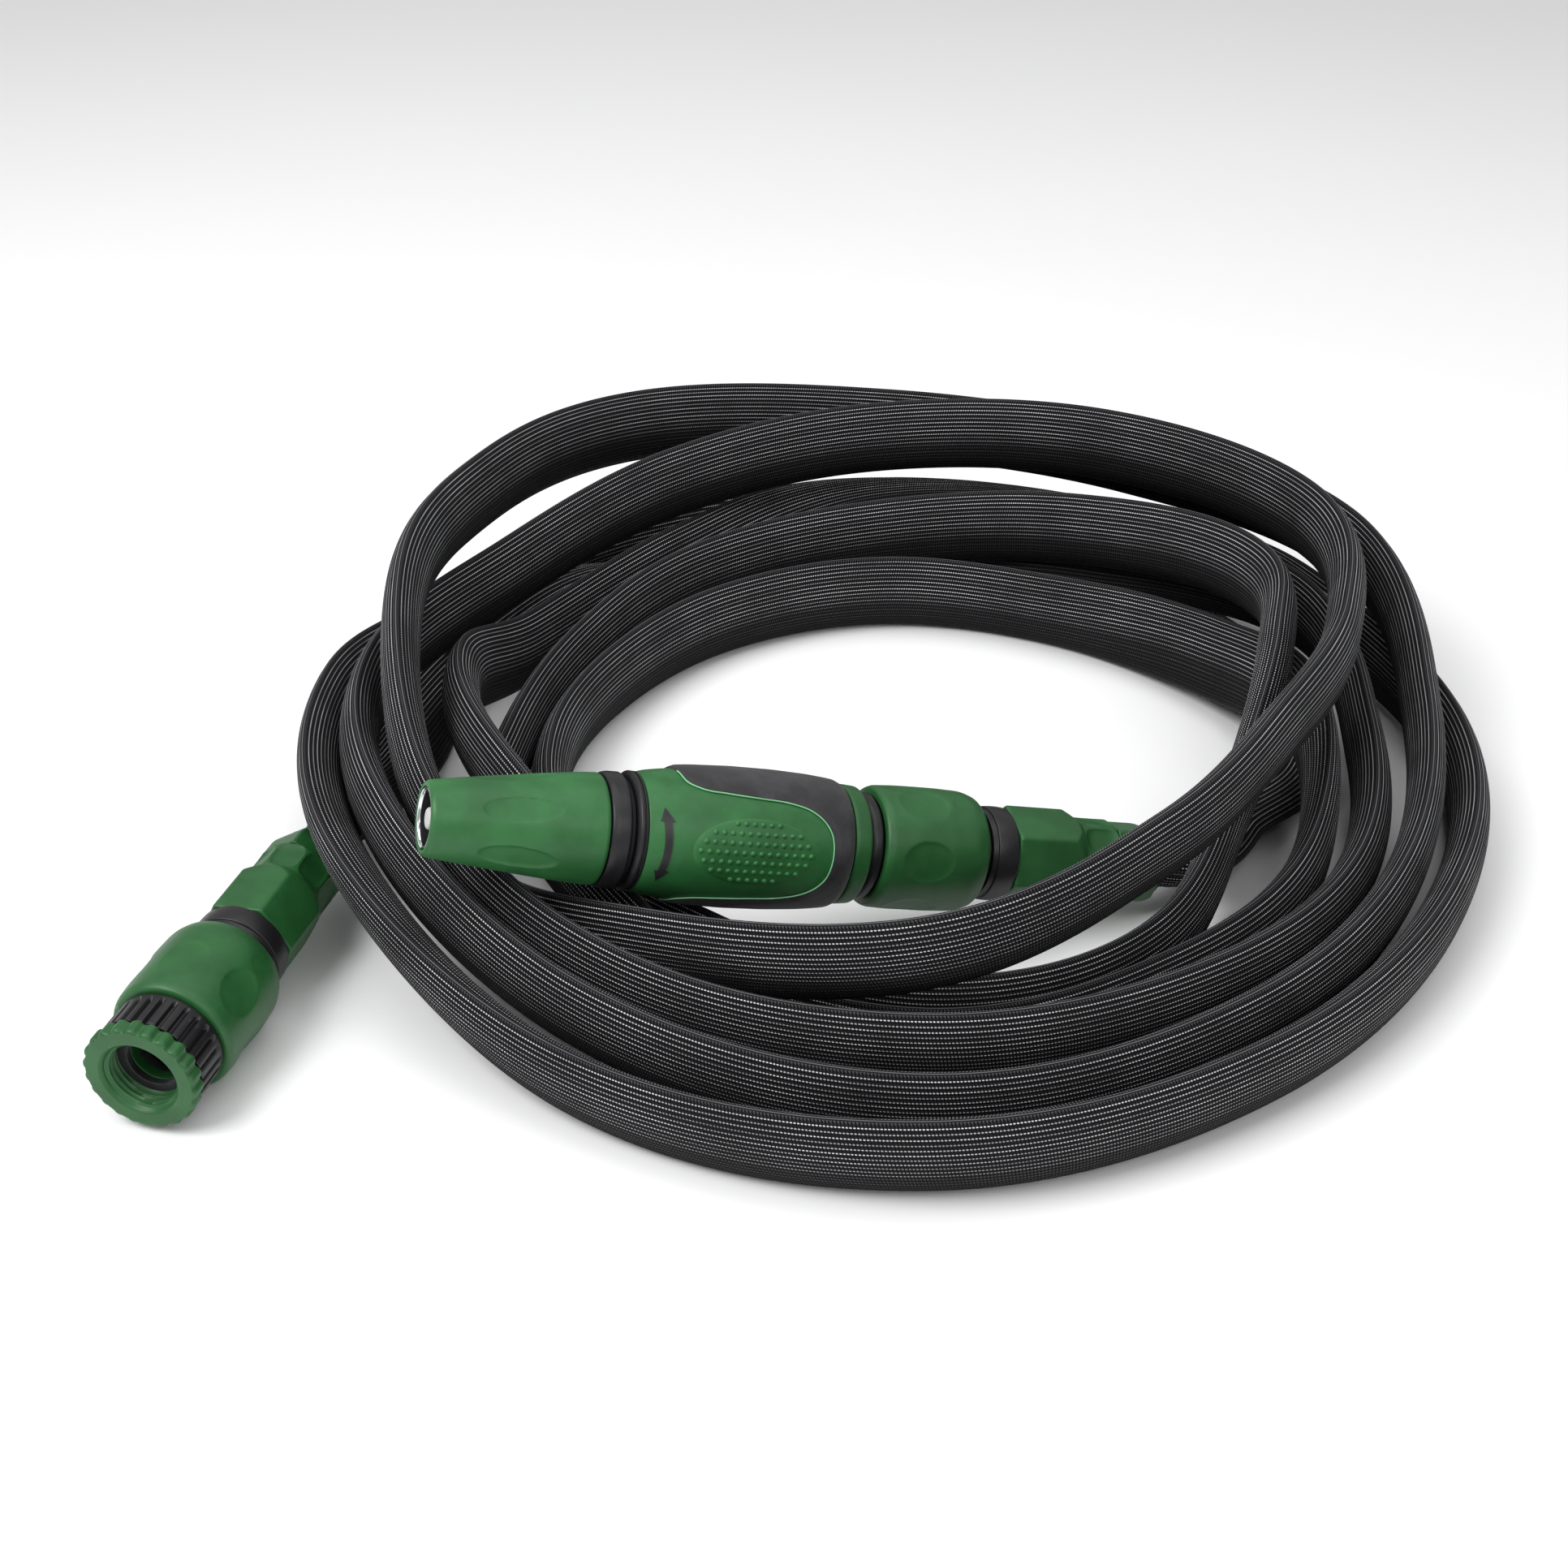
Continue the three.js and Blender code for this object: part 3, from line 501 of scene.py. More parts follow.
def hose_stations():
    """Every station with its azimuth unwound, ends on the two hose guards."""
    rows = []
    azimuth = COIL[0][0]
    for turn, radius, height, lean in COIL:
        azimuth += -((azimuth - turn) % 360)
        rows.append([azimuth, radius, height, lean])
    for reach, drop in ((14.0, 0.8), (END_GAP, 0.0)):
        tap = TAP.origin + TAP.axis * (TAP_GUARD_END + reach)
        rows.insert(0, as_station(tap, 90, rows[0][0]))
        rows[0][2] -= drop
    for reach, lift in ((12.0, 0.4), (END_GAP, 0.0)):
        nozzle = NOZZLE.origin + NOZZLE.axis * (NOZZLE_GUARD_END + reach)
        nozzle.z += lift
        rows.append(as_station(nozzle, 90, rows[-1][0]))
    return np.array(rows, float)


def polar_point(row):
    angle = math.radians(row[0] + COIL_ZERO)
    return np.array([
        COIL_CENTRE.x + row[1] * math.cos(angle),
        COIL_CENTRE.y + row[1] * math.sin(angle),
        row[2],
    ])


def eased(t, width, points, slopes, i):
    """A share t of the way from point i to the next, leaving and arriving with their slopes."""
    return ((2 * t ** 3 - 3 * t ** 2 + 1) * points[i] + (t ** 3 - 2 * t ** 2 + t) * width * slopes[i]
            + (3 * t ** 2 - 2 * t ** 3) * points[i + 1] + (t ** 3 - t ** 2) * width * slopes[i + 1])


def through(rows, samples=24):
    """A smooth line through the stations, parameterised by chord length."""
    points = np.array([polar_point(row) for row in rows])
    chords = np.linalg.norm(np.diff(points, axis=0), axis=1)
    knots = np.concatenate([[0.0], np.cumsum(chords)])
    slopes = np.gradient(rows, knots, axis=0)
    line = []
    for i in range(len(rows) - 1):
        width = knots[i + 1] - knots[i]
        for k in range(samples):
            line.append(eased(k / samples, width, rows, slopes, i))
    line.append(rows[-1])
    return np.array(line)


def resampled(rows, step):
    points = np.array([polar_point(row) for row in rows])
    run = np.concatenate([[0.0], np.cumsum(np.linalg.norm(np.diff(points, axis=0), axis=1))])
    count = int(round(run[-1] / step))
    wanted = np.linspace(0.0, run[-1], count + 1)
    return wanted, np.stack([np.interp(wanted, run, rows[:, k]) for k in range(4)], axis=1)


def hose_section(points):
    """Half width and half thickness round a flat tube with a thin selvedge on each side."""
    fine = np.linspace(0, 2 * math.pi, 4001)
    reach = HOSE_WIDTH / 2
    x = np.sign(np.cos(fine)) * np.abs(np.cos(fine)) ** 0.92 * reach
    from_edge = reach - np.abs(x)
    body = HOSE_THICKNESS / 2 * np.sqrt(np.clip(1 - (np.abs(x) / (reach - 0.7)) ** 2, 0, 1)) ** 1.25
    selvedge = 0.9 * np.clip(from_edge / 0.8, 0, 1) ** 0.5
    y = np.sign(np.sin(fine)) * (body ** 3 + selvedge ** 3) ** (1 / 3)
    run = np.concatenate([[0.0], np.cumsum(np.hypot(np.diff(x), np.diff(y)))])
    at = np.linspace(0, run[-1], points + 1)[:-1]
    return np.interp(at, run, x), np.interp(at, run, y), run[-1]


def make_hose():
    rows = int(round(hose_section(8)[2] / ROW / 2)) * 2
    sides = rows * POINTS_PER_ROW
    across, thick, _ = hose_section(sides)
    run, line = resampled(through(hose_stations()), RING_STEP)
    centres = np.array([polar_point(row) for row in line])
    count = len(centres)

    tangents = np.gradient(centres, axis=0)
    tangents[0] = TAP.axis
    tangents[-1] = -NOZZLE.axis
    tangents /= np.linalg.norm(tangents, axis=1)[:, None]
    angle = np.radians(line[:, 0] + COIL_ZERO)
    lean = np.radians(line[:, 3])
    widths = np.stack([np.cos(angle) * np.sin(lean), np.sin(angle) * np.sin(lean), np.cos(lean)], axis=1)
    widths -= tangents * np.sum(widths * tangents, axis=1)[:, None]
    widths /= np.linalg.norm(widths, axis=1)[:, None]
    thicks = np.cross(tangents, widths)

    # gathered into the guards at both ends, slack and slightly uneven between
    from_end = np.minimum(run, run[-1] - run)
    gather = np.clip(from_end / GATHER_LENGTH, 0, 1)
    gather = gather * gather * (3 - 2 * gather)
    slack = 1 - 0.05 * (1 + np.sin(run / 37.0) * np.cos(run / 91.0))
    width_share = 0.56 + 0.44 * gather
    thick_share = (1.2 - 0.2 * gather) * slack

    # lengthwise ribs, one to a row of the weave
    index = np.arange(sides)
    ribs = RIB_HEIGHT * (np.abs(np.sin(math.pi * index / POINTS_PER_ROW)) - 0.6)
    normal_x = thick / (HOSE_THICKNESS / 2) ** 2
    normal_w = across / (HOSE_WIDTH / 2) ** 2
    size = np.hypot(normal_x, normal_w)
    u = across[None, :] * width_share[:, None] + (ribs * normal_w / size)[None, :]
    v = thick[None, :] * thick_share[:, None] + (ribs * normal_x / size)[None, :]
    verts = centres[:, None, :] + u[:, :, None] * widths[:, None, :] + v[:, :, None] * thicks[:, None, :]
    verts *= MM
    verts[:, :, 2] = np.maximum(verts[:, :, 2], FLOOR_GAP * MM)

    mesh = bpy.data.meshes.new("woven_hose")
    ring, side = np.meshgrid(np.arange(count - 1), index, indexing="ij")
    after = (side + 1) % sides
    quads = np.stack([ring * sides + side, ring * sides + after,
                      (ring + 1) * sides + after, (ring + 1) * sides + side], axis=-1).reshape(-1, 4)
    faces = [tuple(int(n) for n in quad) for quad in quads]
    faces += [cap(sides)[::-1], cap(sides, (count - 1) * sides)]
    mesh.from_pydata(verts.reshape(-1, 3).tolist(), [], faces)
    made = bmesh.new()
    made.from_mesh(mesh)
    bmesh.ops.recalc_face_normals(made, faces=made.faces)
    made.to_mesh(mesh)
    made.free()

    weave = mesh.attributes.new("weave", "FLOAT_VECTOR", "CORNER")
    corner_vert = np.zeros(len(mesh.loops), int)
    mesh.loops.foreach_get("vertex_index", corner_vert)
    corner_ring, corner_side = corner_vert // sides, corner_vert % sides
    starts = np.zeros(len(mesh.polygons), int)
    totals = np.zeros(len(mesh.polygons), int)
    mesh.polygons.foreach_get("loop_start", starts)
    mesh.polygons.foreach_get("loop_total", totals)
    face_of = np.repeat(np.arange(len(starts)), totals)
    has_last = np.zeros(len(starts), bool)
    np.logical_or.at(has_last, face_of, corner_side == sides - 1)
    has_first = np.zeros(len(starts), bool)
    np.logical_or.at(has_first, face_of, corner_side == 0)
    seam = (has_last & has_first & (totals == 4))[face_of] & (corner_side == 0)
    around = (corner_side + np.where(seam, sides, 0)) * ROW / POINTS_PER_ROW
    values = np.stack([run[corner_ring], around, np.zeros(len(around))], axis=1)
    weave.data.foreach_set("vector", values.astype(np.float32).ravel())
    mesh.shade_smooth()
    mesh.materials.append(woven_jacket("woven_jacket", rows * ROW))
    piece = bpy.data.objects.new("woven_hose", mesh)
    bpy.context.scene.collection.objects.link(piece)

    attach(piece, "hose_set")
    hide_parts("hose")


make_hose()

# ------------------------------------------------------------------ quick connectors

DIMPLES = 6
NUT_EDGE = math.radians(27)
GUARD_EDGE = 0.0
HEX = math.pi / 3
JAWS = 3


def hollow(angle, station, radius, middle, at, half_length, half_width, power=2.0):
    """1 in the middle of an oval hollow on a turned surface, falling to 0 at its rim."""
    along = abs(station - at) / half_length
    across = abs(wrapped(angle - middle)) * radius / half_width
    return max(0.0, 1 - along ** power - across ** 2)


def six_sided(angle, edge):
    """How far a hexagon's side is from its middle, as a share of its corner's reach."""
    from_flat = (angle - edge) % HEX - HEX / 2
    return min(0.982, math.cos(HEX / 2) / math.cos(from_flat))


def release_sleeve(prefix, place, front):
    """The sprung collar, with six finger hollows and three small moulding marks."""
    def shape(angle, station, radius):
        if radius < 15.3:
            return radius
        depth = 0.0
        for i in range(DIMPLES):
            middle = 2 * math.pi * i / DIMPLES
            depth += 0.8 * hollow(angle, station, radius, middle, front + 12.8, 7.6, 6.0) ** 0.55
            if i % 2:
                depth += 0.25 * hollow(angle, station, radius, middle, front + 25.0, 3.2, 3.2) ** 0.3
        return radius - depth

    corners = [
        (14.4, front, 0.3), (16.4, front, 0.7), (17.25, front + 1.5, 0.9), (17.6, front + 8, 3),
        (17.6, front + 21, 4), (17.25, front + 28.4, 1.6), (16.1, front + 31.6, 1.0),
        (15.2, front + 32.5, 0.3), (14.4, front + 32.5, 0),
        (14.4, front + 9, 0), (13.5, front + 9, 0), (13.5, front + 5, 0), (14.4, front + 5, 0),
    ]
    piece = turned(f"{prefix}_sleeve_moulding", place, corners, DEEP, 240, shape, 0.55)
    stands_for(piece, f"{prefix}_release_sleeve", f"{prefix}_sleeve")


def block_mesh(place, angle, inner, outer, half_width, start, end):
    outwards = place.face * math.cos(angle) + place.across * math.sin(angle)
    sideways = place.axis.cross(outwards)
    verts = []
    for radius in (inner, outer):
        for side in (-half_width, half_width):
            for station in (start, end):
                verts.append((place.origin + place.axis * station + outwards * radius + sideways * side) * MM)
    return verts, [(0, 1, 3, 2), (4, 6, 7, 5), (0, 4, 5, 1), (2, 3, 7, 6), (0, 2, 6, 4), (1, 5, 7, 3)]


def cut_windows(piece, place, front):
    """Openings through the socket's wall for the locking jaws."""
    verts, faces = [], []
    for i in range(JAWS):
        block, sides = block_mesh(place, 2 * math.pi * i / JAWS, 7.0, 12.6, 3.1, front + 4.8, front + 8.4)
        faces.extend(tuple(n + len(verts) for n in side) for side in sides)
        verts.extend(block)
    cutter = add_object("window_cutter", verts, faces, BLACK)
    modifier = piece.modifiers.new("windows", "BOOLEAN")
    modifier.operation = "DIFFERENCE"
    modifier.solver = "EXACT"
    modifier.object = cutter
    bpy.context.view_layer.update()
    evaluated = piece.evaluated_get(bpy.context.evaluated_depsgraph_get())
    opened = bpy.data.meshes.new_from_object(evaluated)
    piece.modifiers.clear()
    piece.data = opened
    bpy.data.objects.remove(cutter)


def connector_body(prefix, place, front):
    """The socket, its waist and collar, and the barbed spigot inside the hose."""
    corners = [
        (9.3, front + 2.5, 0.4), (11.2, front + 2.5, 0.5), (11.2, front + 26, 0.2), (14, front + 26, 0.3),
        (14, front + 29, 0.3), (11.2, front + 29, 0.2), (11.2, front + 34.9, 0.1), (12.7, front + 34.9, 0.2),
        (12.9, front + 36.4, 0.1), (13.5, front + 36.6, 0.4), (13.75, front + 39.6, 1.5),
        (13.5, front + 43, 0.5), (6, front + 43, 0),
    ]
    for barb in range(6):
        start = front + 49 + 4.5 * barb
        corners += [(5.4, start, 0), (6, start + 4.2, 0)]
    corners += [(5.2, front + 78, 0.3), (4.3, front + 78, 0), (4.3, front + 22, 0), (9.3, front + 22, 0)]
    piece = turned(f"{prefix}_connector_moulding", place, corners, BLACK, 128, None, 1.6)
    cut_windows(piece, place, front)
    stands_for(piece, f"{prefix}_connector_body", "hose_set")


def hose_nut(prefix, place, front):
    """A hexagonal nut with a fluted neck behind it."""
    back = front + 65.7
    flutes = 8

    def shape(angle, station, radius):
        if radius < 11.2:
            return radius
        if station < back - 0.01:
            bevel = 14.55 - 2.2 * min(1.0, max(0.0, (station - back + 4.3) / 4.3))
            return min(radius * six_sided(angle, NUT_EDGE), bevel)
        depth = 0.0
        for i in range(flutes):
            middle = NUT_EDGE + 2 * math.pi * (i + 0.5) / flutes
            depth += 1.25 * hollow(angle, station, radius, middle, back + 6.4, 5.8, 4.3, 4.0) ** 0.6
        return radius - depth

    corners = [
        (10.5, front + 43.3, 0.2), (14.2, front + 43.3, 0.3), (14.55, front + 43.9, 0.3),
        (14.55, back - 0.05, 0.2), (12.4, back, 0), (12.1, back + 0.6, 0.3),
        (12.1, front + 77.4, 0.3), (11.6, front + 78, 0), (10.5, front + 78, 0),
    ]
    piece = turned(f"{prefix}_nut_moulding", place, corners, DEEP, 240, shape, 0.6)
    stands_for(piece, f"{prefix}_hose_nut", "hose_set")


def hose_guard(prefix, place, front, end):
    """The six-sided tail over the hose's gathered end."""
    def shape(angle, station, radius):
        return radius * six_sided(angle, GUARD_EDGE) if radius > 9.5 else radius

    start = front + 78.3
    corners = [
        (8.5, start, 0.3), (12.3, start, 0.5), (12.3, end - 3.4, 1.6), (11.0, end - 0.3, 0.6),
        (9.4, end, 0.2), (8.5, end, 0.2),
    ]
    piece = turned(f"{prefix}_guard_moulding", place, corners, DEEP, 240, shape, 0.8)
    stands_for(piece, f"{prefix}_hose_guard", "hose_set")


def snout_corners(front):
    """The click-on snout, with its locking groove and the seat of its seal."""
    return [
        (9, front + 4.7, 0.2), (7.6, front + 4.7, 0.2), (7.6, front + 8.7, 0.2), (9, front + 9.2, 0.2),
        (9, front + 14.7, 0.1), (6.9, front + 14.7, 0), (6.9, front + 17.3, 0), (9, front + 17.3, 0.1),
        (9, front + 19.3, 0.3), (7.9, front + 20.5, 0.4), (4.6, front + 20.5, 0.2),
    ]


for prefix, place, front, end in (
    ("tap", TAP, TAP_SLEEVE, TAP_GUARD_END),
    ("nozzle", NOZZLE, NOZZLE_SLEEVE, NOZZLE_GUARD_END),
):
    release_sleeve(prefix, place, front)
    connector_body(prefix, place, front)
    hose_nut(prefix, place, front)
    hose_guard(prefix, place, front, end)

# ------------------------------------------------------------------ tap end

THREAD_PITCH = 1.814


def tap_reducer():
    """The threaded ring with a scalloped rim that screws onto the tap."""
    scallops = 22

    def shape(angle, station, radius):
        if radius > 15.0:
            wave = 0.5 - 0.5 * math.cos(scallops * angle)
            return radius - 0.95 * wave ** 1.6
        if 10.2 < radius < 10.8 and station < 9.4:
            turn = (station / THREAD_PITCH - angle / (2 * math.pi)) % 1.0
            ridge = min(1.0, 1.35 * (1 - abs(2 * turn - 1)))
            fade = smooth_step(station, 0.9, 2.2) * (1 - smooth_step(station, 7.6, 8.8))
            return radius - 1.0 * ridge * fade
        return radius

    corners = [
        (10.4, 0.9, 0.5), (11.3, 0, 0.3), (16, 0, 1.3), (16, 5, 0.8), (13, 5, 0), (13, 12.5, 0.3),
        (7, 12.5, 0), (7, 9.5, 0.3), (10.4, 9.5, 0),
    ]
    piece = turned("reducer_ring_moulding", TAP, corners, DEEP, 264, shape, 0.4)
    stands_for(piece, "tap_reducer_ring", "reducer")


def tap_washer():
    corners = [(7, 7.2, 0.3), (10.1, 7.2, 0.3), (10.1, 9.2, 0.3), (7, 9.2, 0.3)]
    piece = turned("reducer_washer_ring", TAP, corners, SEAL, 128)
    stands_for(piece, "tap_reducer_washer", "reducer_travel")


def tap_adaptor():
    """The ribbed adaptor that turns on the reducer's thread and plugs into the socket."""
    ribs = 28
    slot_end = 15.4

    def shape(angle, station, radius):
        if radius < 14.6 or station > slot_end + 1:
            return radius
        beat = abs(((angle * ribs / (2 * math.pi)) % 1.0) - 0.5)
        cut = 1 - smooth_step(beat, 0.1, 0.24)
        crown = 0.22 * (beat - 0.5) ** 2 * 4
        end = slot_end - 0.9 * (beat / 0.24) ** 2
        fade = 1 - smooth_step(station, end - 0.5, end + 0.3)
        return radius - fade * (1.15 * cut + crown * (1 - cut))

    corners = [
        (13.3, 5.3, 0.2), (15.3, 5.3, 0.4), (15.3, 17, 0.5), (9, 17, 0),
        *snout_corners(TAP_SLEEVE), (4.6, 15.1, 0), (13.3, 15.1, 0),
    ]
    piece = turned("ribbed_adaptor_moulding", TAP, corners, BLACK, 336, shape, 0.6)
    stands_for(piece, "tap_adaptor", "tap_swivel")


tap_reducer()
tap_washer()
tap_adaptor()

# ------------------------------------------------------------------ nozzle


def painted(piece, material, start, end, reach):
    """Give another material to the faces near the nozzle's axis between two stations; here black, painting
    the dark inside of the nozzle's mouth and its shade.
    """
    piece.data.materials.append(material)
    for face in piece.data.polygons:
        away = face.center / MM - NOZZLE.origin
        station = away.dot(NOZZLE.axis)
        if start < station < end and (away - NOZZLE.axis * station).length < reach:
            face.material_index = 1


def nozzle_barrel():
    """The tapered twist barrel with six long hollows; black inside its mouth, partly a dark insert and partly
    painted shade.
    """
    def shape(angle, station, radius):
        if radius < 9.6 or station < 6:
            return radius
        depth = 0.0
        for i in range(DIMPLES):
            middle = 2 * math.pi * (i + 0.5) / DIMPLES
            depth += 0.75 * hollow(angle, station, radius, middle, 23.5, 10.4, 3.5) ** 0.4
        return radius - depth

    corners = [
        (8.45, 0, 0.2), (9.4, 0, 0.5), (10.2, 1.0, 0.8), (11.9, 14, 4), (13.7, 29, 4), (14.95, 41, 3),
        (15.2, 45.9, 0.6), (14.7, 46.7, 0.3), (11.6, 46.7, 0.2), (11.6, 30.2, 0), (12.6, 30.2, 0),
        (12.6, 27.4, 0), (11.6, 27.4, 0), (11.6, 25, 0), (10.4, 22, 0), (8, 11, 0), (4.2, 9, 0.3),
        (4.2, 4.3, 0.3), (8.45, 4.3, 0),
    ]
    piece = turned("barrel_moulding", NOZZLE, corners, GREEN, 240, shape, 0.6)
    # black over the barrel's green inner wall at the mouth: partly the tip's dark insert, partly painted
    # shade
    painted(piece, BLACK, -1.0, 9.2, 8.44)
    stands_for(piece, "nozzle_barrel", "barrel")


def nozzle_front():
    ring = [(7.5, 0.35, 0.15), (8.1, 0.1, 0.2), (8.15, 4, 0), (7.2, 4, 0), (7.35, 1.0, 0.15)]
    piece = turned("tip_ring_polished", NOZZLE, ring, CHROME, 160, None, 0.5)
    # painted shade: the chrome ring's inner wall past its bright lip is given black plastic for the shade and
    # dark reflection inside the ring
    painted(piece, BLACK, 0.9, 9.2, 7.5)
    stands_for(piece, "nozzle_tip_ring", "barrel")
    stem = [
        (0, 0.9, 0), (2.5, 0.9, 0.5), (3.0, 1.5, 0.4), (3.0, 4.8, 0.4), (3.8, 6.2, 0.3), (3.8, 10, 0.3),
        (2.4, 12, 0.3), (2.4, 30, 0.3), (8.7, 31, 0.2), (8.7, 34, 0.2), (0, 34, 0),
    ]
    piece = turned("stem_moulding", NOZZLE, stem, GREY, 96, None, 1.5, False)
    stands_for(piece, "nozzle_stem", "nozzle_grip")


def nozzle_neck():
    """The threaded neck that the barrel runs along, seen when it is wound out."""
    lead = 4.0

    def shape(angle, station, radius):
        if radius < 11.0 or not 32 < station < 46:
            return radius
        turn = (station / lead - angle / (2 * math.pi)) % 1.0
        return radius - 0.5 * smooth_step(abs(turn - 0.5), 0.12, 0.3)

    corners = [(9, 26, 0.2), (11.3, 26, 0.5), (11.3, 56.5, 0), (9, 56.5, 0)]
    piece = turned("neck_moulding", NOZZLE, corners, BLACK, 144, shape, 0.6)
    stands_for(piece, "nozzle_neck_tube", "nozzle_grip")


def nozzle_rings():
    """The collars on either side of the grip and the shoulder of the snout."""
    seat = [(11.6, 47, 0), (15.3, 47, 0.4), (15.8, 48.4, 1.0), (15.8, 52.0, 0.5), (14.4, 52.6, 0.3),
            (14.2, 53.7, 0.1), (11.6, 53.7, 0)]
    flange = [(11.6, 54, 0), (15.3, 54, 0.3), (16.35, 54.7, 0.3), (16.35, 55.5, 0.2), (15.8, 55.7, 0.1),
              (15.8, 55.95, 0.1), (16.3, 56.1, 0.1), (16.2, 56.5, 0), (11.6, 56.5, 0)]
    rear = [(8, 116.5, 0), (16.7, 116.5, 0.4), (16.9, 117.4, 0.8), (16.6, 121.2, 0.4), (15.8, 121.8, 0.2),
            (8, 121.8, 0)]
    snout = [(4.6, 122.1, 0), (14.6, 122.1, 0.3), (15.3, 123.2, 0.4), (15.3, 125.1, 0.4), (14.4, 125.9, 0.2),
             (9, 125.9, 0), *snout_corners(NOZZLE_SLEEVE)]
    for name, corners, material, node in (
        ("seat_ring_moulding", seat, BLACK, "nozzle_seat_ring"),
        ("flange_ring_moulding", flange, BLACK, "nozzle_flange_ring"),
        ("rear_ring_moulding", rear, DEEP, "nozzle_rear_ring"),
        ("snout_moulding", snout, BLACK, "nozzle_snout"),
    ):
        stands_for(turned(name, NOZZLE, corners, material, 192, None, 1.2), node, "nozzle_grip")


# the grip's outline, and where things lie on it as (distance round from its face, station)
GRIP_FRONT = 56.8
GRIP_LENGTH = 59.4
GRIP = [(15.9, 56.8), (16.6, 58), (17.5, 64), (18.2, 72), (18.6, 84), (18.5, 96), (18.0, 106), (17.3, 113),
        (16.7, 116.2)]
OVERMOULD = (66.5, 115.8)
WINDOW = [(31, 66.4), (24.5, 67), (19.4, 68.4), (17.5, 71.5), (16.3, 79), (15.4, 88), (14.4, 97),
          (12.6, 102.6), (9.9, 106.2), (6.2, 108.6), (3, 109.3), (0, 109.5)]
PAD_MIDDLE = 86.8
PAD_LENGTH = 36.7
PAD_WIDTH = 19.4
DOTS = (6, 11, 13, 14, 13, 11, 6)
ARROW_MIDDLE = 62.1


def grip_radius(station):
    """The grip's radius, through its outline's points without corners."""
    stations = [row[1] for row in GRIP]
    radii = [row[0] for row in GRIP]
    total = share = 0.0
    for offset in (-2.0, -1.0, 0.0, 1.0, 2.0):
        weight = 3 - abs(offset)
        total += weight * float(np.interp(station + offset, stations, radii))
        share += weight
    return total / share


def curve_through(points, count):
    """An even run of points on a smooth line through a few."""
    points = np.array(points, float)
    knots = np.concatenate([[0], np.cumsum(np.hypot(*np.diff(points, axis=0).T))])
    slopes = np.gradient(points, knots, axis=0)
    result = []
    for at in np.linspace(0, knots[-1], count):
        i = min(int(np.searchsorted(knots, at, "right")) - 1, len(points) - 2)
        width = knots[i + 1] - knots[i]
        result.append(eased((at - knots[i]) / width, width, points, slopes, i))
    return np.array(result)


def window_line():
    right = curve_through(WINDOW, 90)
    left = right[::-1][1:] * (-1, 1)
    return np.concatenate([right, left])


def outside_window(arc, station, line):
    """Signed distance to the window's edge: positive on the overmould's side."""
    start, end = line[:-1], line[1:]
    span = end - start
    place = np.array([arc, station])
    share = np.clip(((place - start) * span).sum(1) / (span * span).sum(1), 0, 1)
    gaps = np.hypot(*(start + span * share[:, None] - place).T)
    nearest = float(gaps.min())
    half_width = np.interp(station, line[:90, 1], line[:90, 0], right=0.0)
    return -nearest if abs(arc) < half_width and station < line[89, 1] else nearest


def grip_body():
    stations = [GRIP_FRONT + GRIP_LENGTH * i / 60 for i in range(61)]
    outline = [(grip_radius(station), station, 0) for station in stations]
    outline[0] = (outline[0][0], outline[0][1], 0.4)
    outline[-1] = (outline[-1][0], outline[-1][1], 0.4)
    corners = [(8, stations[0], 0), *outline, (8, stations[-1], 0)]
    piece = turned("grip_moulding", NOZZLE, corners, GREEN, 192, None, 1.1)
    stands_for(piece, "nozzle_grip_body", "nozzle_grip")


def soft_overmould():
    """A soft skin round the grip that dips under the green panel at the window."""
    line = window_line()
    first, last = OVERMOULD

    def shape(angle, station, radius):
        if radius < 15.2:
            return radius
        under = grip_radius(station)
        arc = wrapped(angle) * under
        lip = min(station - first, last - station) + 0.25
        edge = min(outside_window(arc, station, line), lip)
        if edge < -0.6:
            return under - 0.5
        rise = smooth_step(edge, -0.5, 0.5)
        return under - 0.5 + 1.05 * rise + 0.42 * smooth_step(edge, 0.3, 2.2)

    stations = [first + (last - first) * i / 60 for i in range(61)]
    skin = [(grip_radius(station), station, 0) for station in stations]
    inner = [(14.9, last, 0), (14.9, first, 0)]
    piece = turned("overmould_skin", NOZZLE, skin + inner, SOFT, 288, shape, 0.45, angle=60)
    stands_for(piece, "nozzle_soft_overmould", "nozzle_grip")


def on_grip(arc, station, lift):
    radius = grip_radius(station)
    return NOZZLE.point(radius + lift, arc / radius, station)


def window_bead():
    """The panel's raised edge, a thin round line all along the window, in pale green as a painted highlight
    on the edge.
    """
    line = window_line()
    thick, sides = 0.22, 8
    keep = [row for row in line if row[1] > OVERMOULD[0] + 0.3]
    verts = []
    for i, (arc, station) in enumerate(keep):
        before, after = keep[max(i - 1, 0)], keep[min(i + 1, len(keep) - 1)]
        run = np.array(after) - np.array(before)
        side = np.array([run[1], -run[0]]) / np.hypot(*run)
        for k in range(sides):
            turn = 2 * math.pi * k / sides
            reach = thick * math.cos(turn)
            lift = 0.34 + thick * math.sin(turn)
            verts.append(on_grip(arc + side[0] * reach, station + side[1] * reach, lift))
    faces = ring_faces(len(keep), sides)
    faces += [cap(sides), cap(sides, (len(keep) - 1) * sides)]
    piece = add_object("panel_edge_bead", verts, faces, EDGE_HIGHLIGHT, 60)
    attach(piece, "nozzle_grip")


